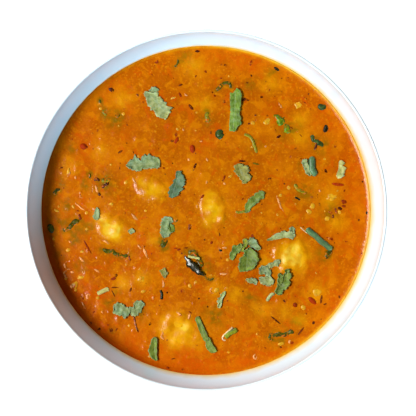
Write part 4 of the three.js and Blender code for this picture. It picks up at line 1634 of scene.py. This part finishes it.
def add_camera():
    camera = bpy.data.objects.new("camera", bpy.data.cameras.new("camera"))
    camera.location = (0.88 * MM, 1.1 * MM, CAMERA_HEIGHT)
    camera.data.lens = CAMERA_LENS
    camera.data.sensor_width = SENSOR_WIDTH
    camera.data.clip_start = 0.01
    bpy.context.scene.collection.objects.link(camera)
    bpy.context.scene.camera = camera


def add_lamp(name, azimuth, elevation, distance, wide, high, power, tint):
    """A soft rectangular lamp that looks at the bowl."""
    lamp = bpy.data.objects.new(name, bpy.data.lights.new(name, "AREA"))
    azimuth, elevation = math.radians(azimuth), math.radians(elevation)
    level = math.cos(elevation)
    heading = Vector((math.cos(azimuth) * level, math.sin(azimuth) * level, math.sin(elevation)))
    lamp.location = heading * distance
    lamp.rotation_euler = heading.to_track_quat("Z", "Y").to_euler()
    lamp.data.shape = "RECTANGLE"
    lamp.data.size, lamp.data.size_y = wide, high
    lamp.data.energy = power
    lamp.data.color = tint
    bpy.context.scene.collection.objects.link(lamp)


def add_world():
    """A dim studio: walls that are bright near the floor, a dark ceiling and a pale backdrop."""
    world = bpy.data.worlds.new("studio")
    bpy.context.scene.world = world
    recipe = Recipe(world)
    heading = recipe.node("ShaderNodeTexCoord", output="Generated")
    up = recipe.node("ShaderNodeSeparateXYZ", None, {"Vector": heading}, "Z")
    light = recipe.mix(up.step(0.5, 0.1), CEILING_LIGHT, WALL_LIGHT)
    seen = recipe.node("ShaderNodeLightPath", output="Is Camera Ray")
    shown = recipe.mix(seen, light, BACKDROP)
    background = recipe.node("ShaderNodeBackground", None, {"Color": shown, "Strength": 1.0})
    recipe.node("ShaderNodeOutputWorld", None, {"Surface": background})


class DAL_OT_stage(bpy.types.Operator):
    """Set the floor, the lights and the camera"""

    bl_idname = "dal.stage"
    bl_label = "Stage"

    def execute(self, context):
        bm = bmesh.new()
        bmesh.ops.create_grid(bm, x_segments=8, y_segments=8, size=3)
        mesh = bpy.data.meshes.new("floor")
        bm.to_mesh(mesh)
        bm.free()
        mesh.materials.append(floor_material())
        floor = bpy.data.objects.new("floor", mesh)
        context.scene.collection.objects.link(floor)
        floor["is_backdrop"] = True
        add_world()
        for lamp in LAMPS:
            add_lamp(*lamp)
        add_camera()
        context.scene.view_settings.view_transform = "Standard"
        return {"FINISHED"}


PIECE_OPERATORS = (
    DAL_OT_bowl,
    DAL_OT_stew,
    DAL_OT_potatoes,
    DAL_OT_lentils,
    DAL_OT_leaves,
    DAL_OT_stems,
    DAL_OT_herbs,
    DAL_OT_spices,
    DAL_OT_stage,
)


class DAL_PT_bowl_of_dal(bpy.types.Panel):
    """The steps that make the bowl of dal, in order"""

    bl_idname = "DAL_PT_bowl_of_dal"
    bl_label = "Bowl of dal"
    bl_space_type = "VIEW_3D"
    bl_region_type = "UI"
    bl_category = "Dal"

    def draw(self, context):
        for operator in PIECE_OPERATORS:
            self.layout.operator(operator.bl_idname)
        for group in (context.scene.dal_sizes, context.scene.dal_colours):
            for name in group.bl_rna.properties.keys():
                if name not in {"rna_type", "name"}:
                    self.layout.prop(group, name)


CLASSES = (DalSizes, DalColours, *PIECE_OPERATORS, DAL_PT_bowl_of_dal)


def register():
    for cls in CLASSES:
        bpy.utils.register_class(cls)
    bpy.types.Scene.dal_sizes = bpy.props.PointerProperty(type=DalSizes)
    bpy.types.Scene.dal_colours = bpy.props.PointerProperty(type=DalColours)


def unregister():
    del bpy.types.Scene.dal_colours
    del bpy.types.Scene.dal_sizes
    for cls in reversed(CLASSES):
        bpy.utils.unregister_class(cls)


def main():
    register()
    for operator in PIECE_OPERATORS:
        group, step = operator.bl_idname.split(".")
        getattr(getattr(bpy.ops, group), step)()
    bpy.context.view_layer.update()
    visual_box = [list(corner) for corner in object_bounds()]


if __name__ == "__main__":
    main()
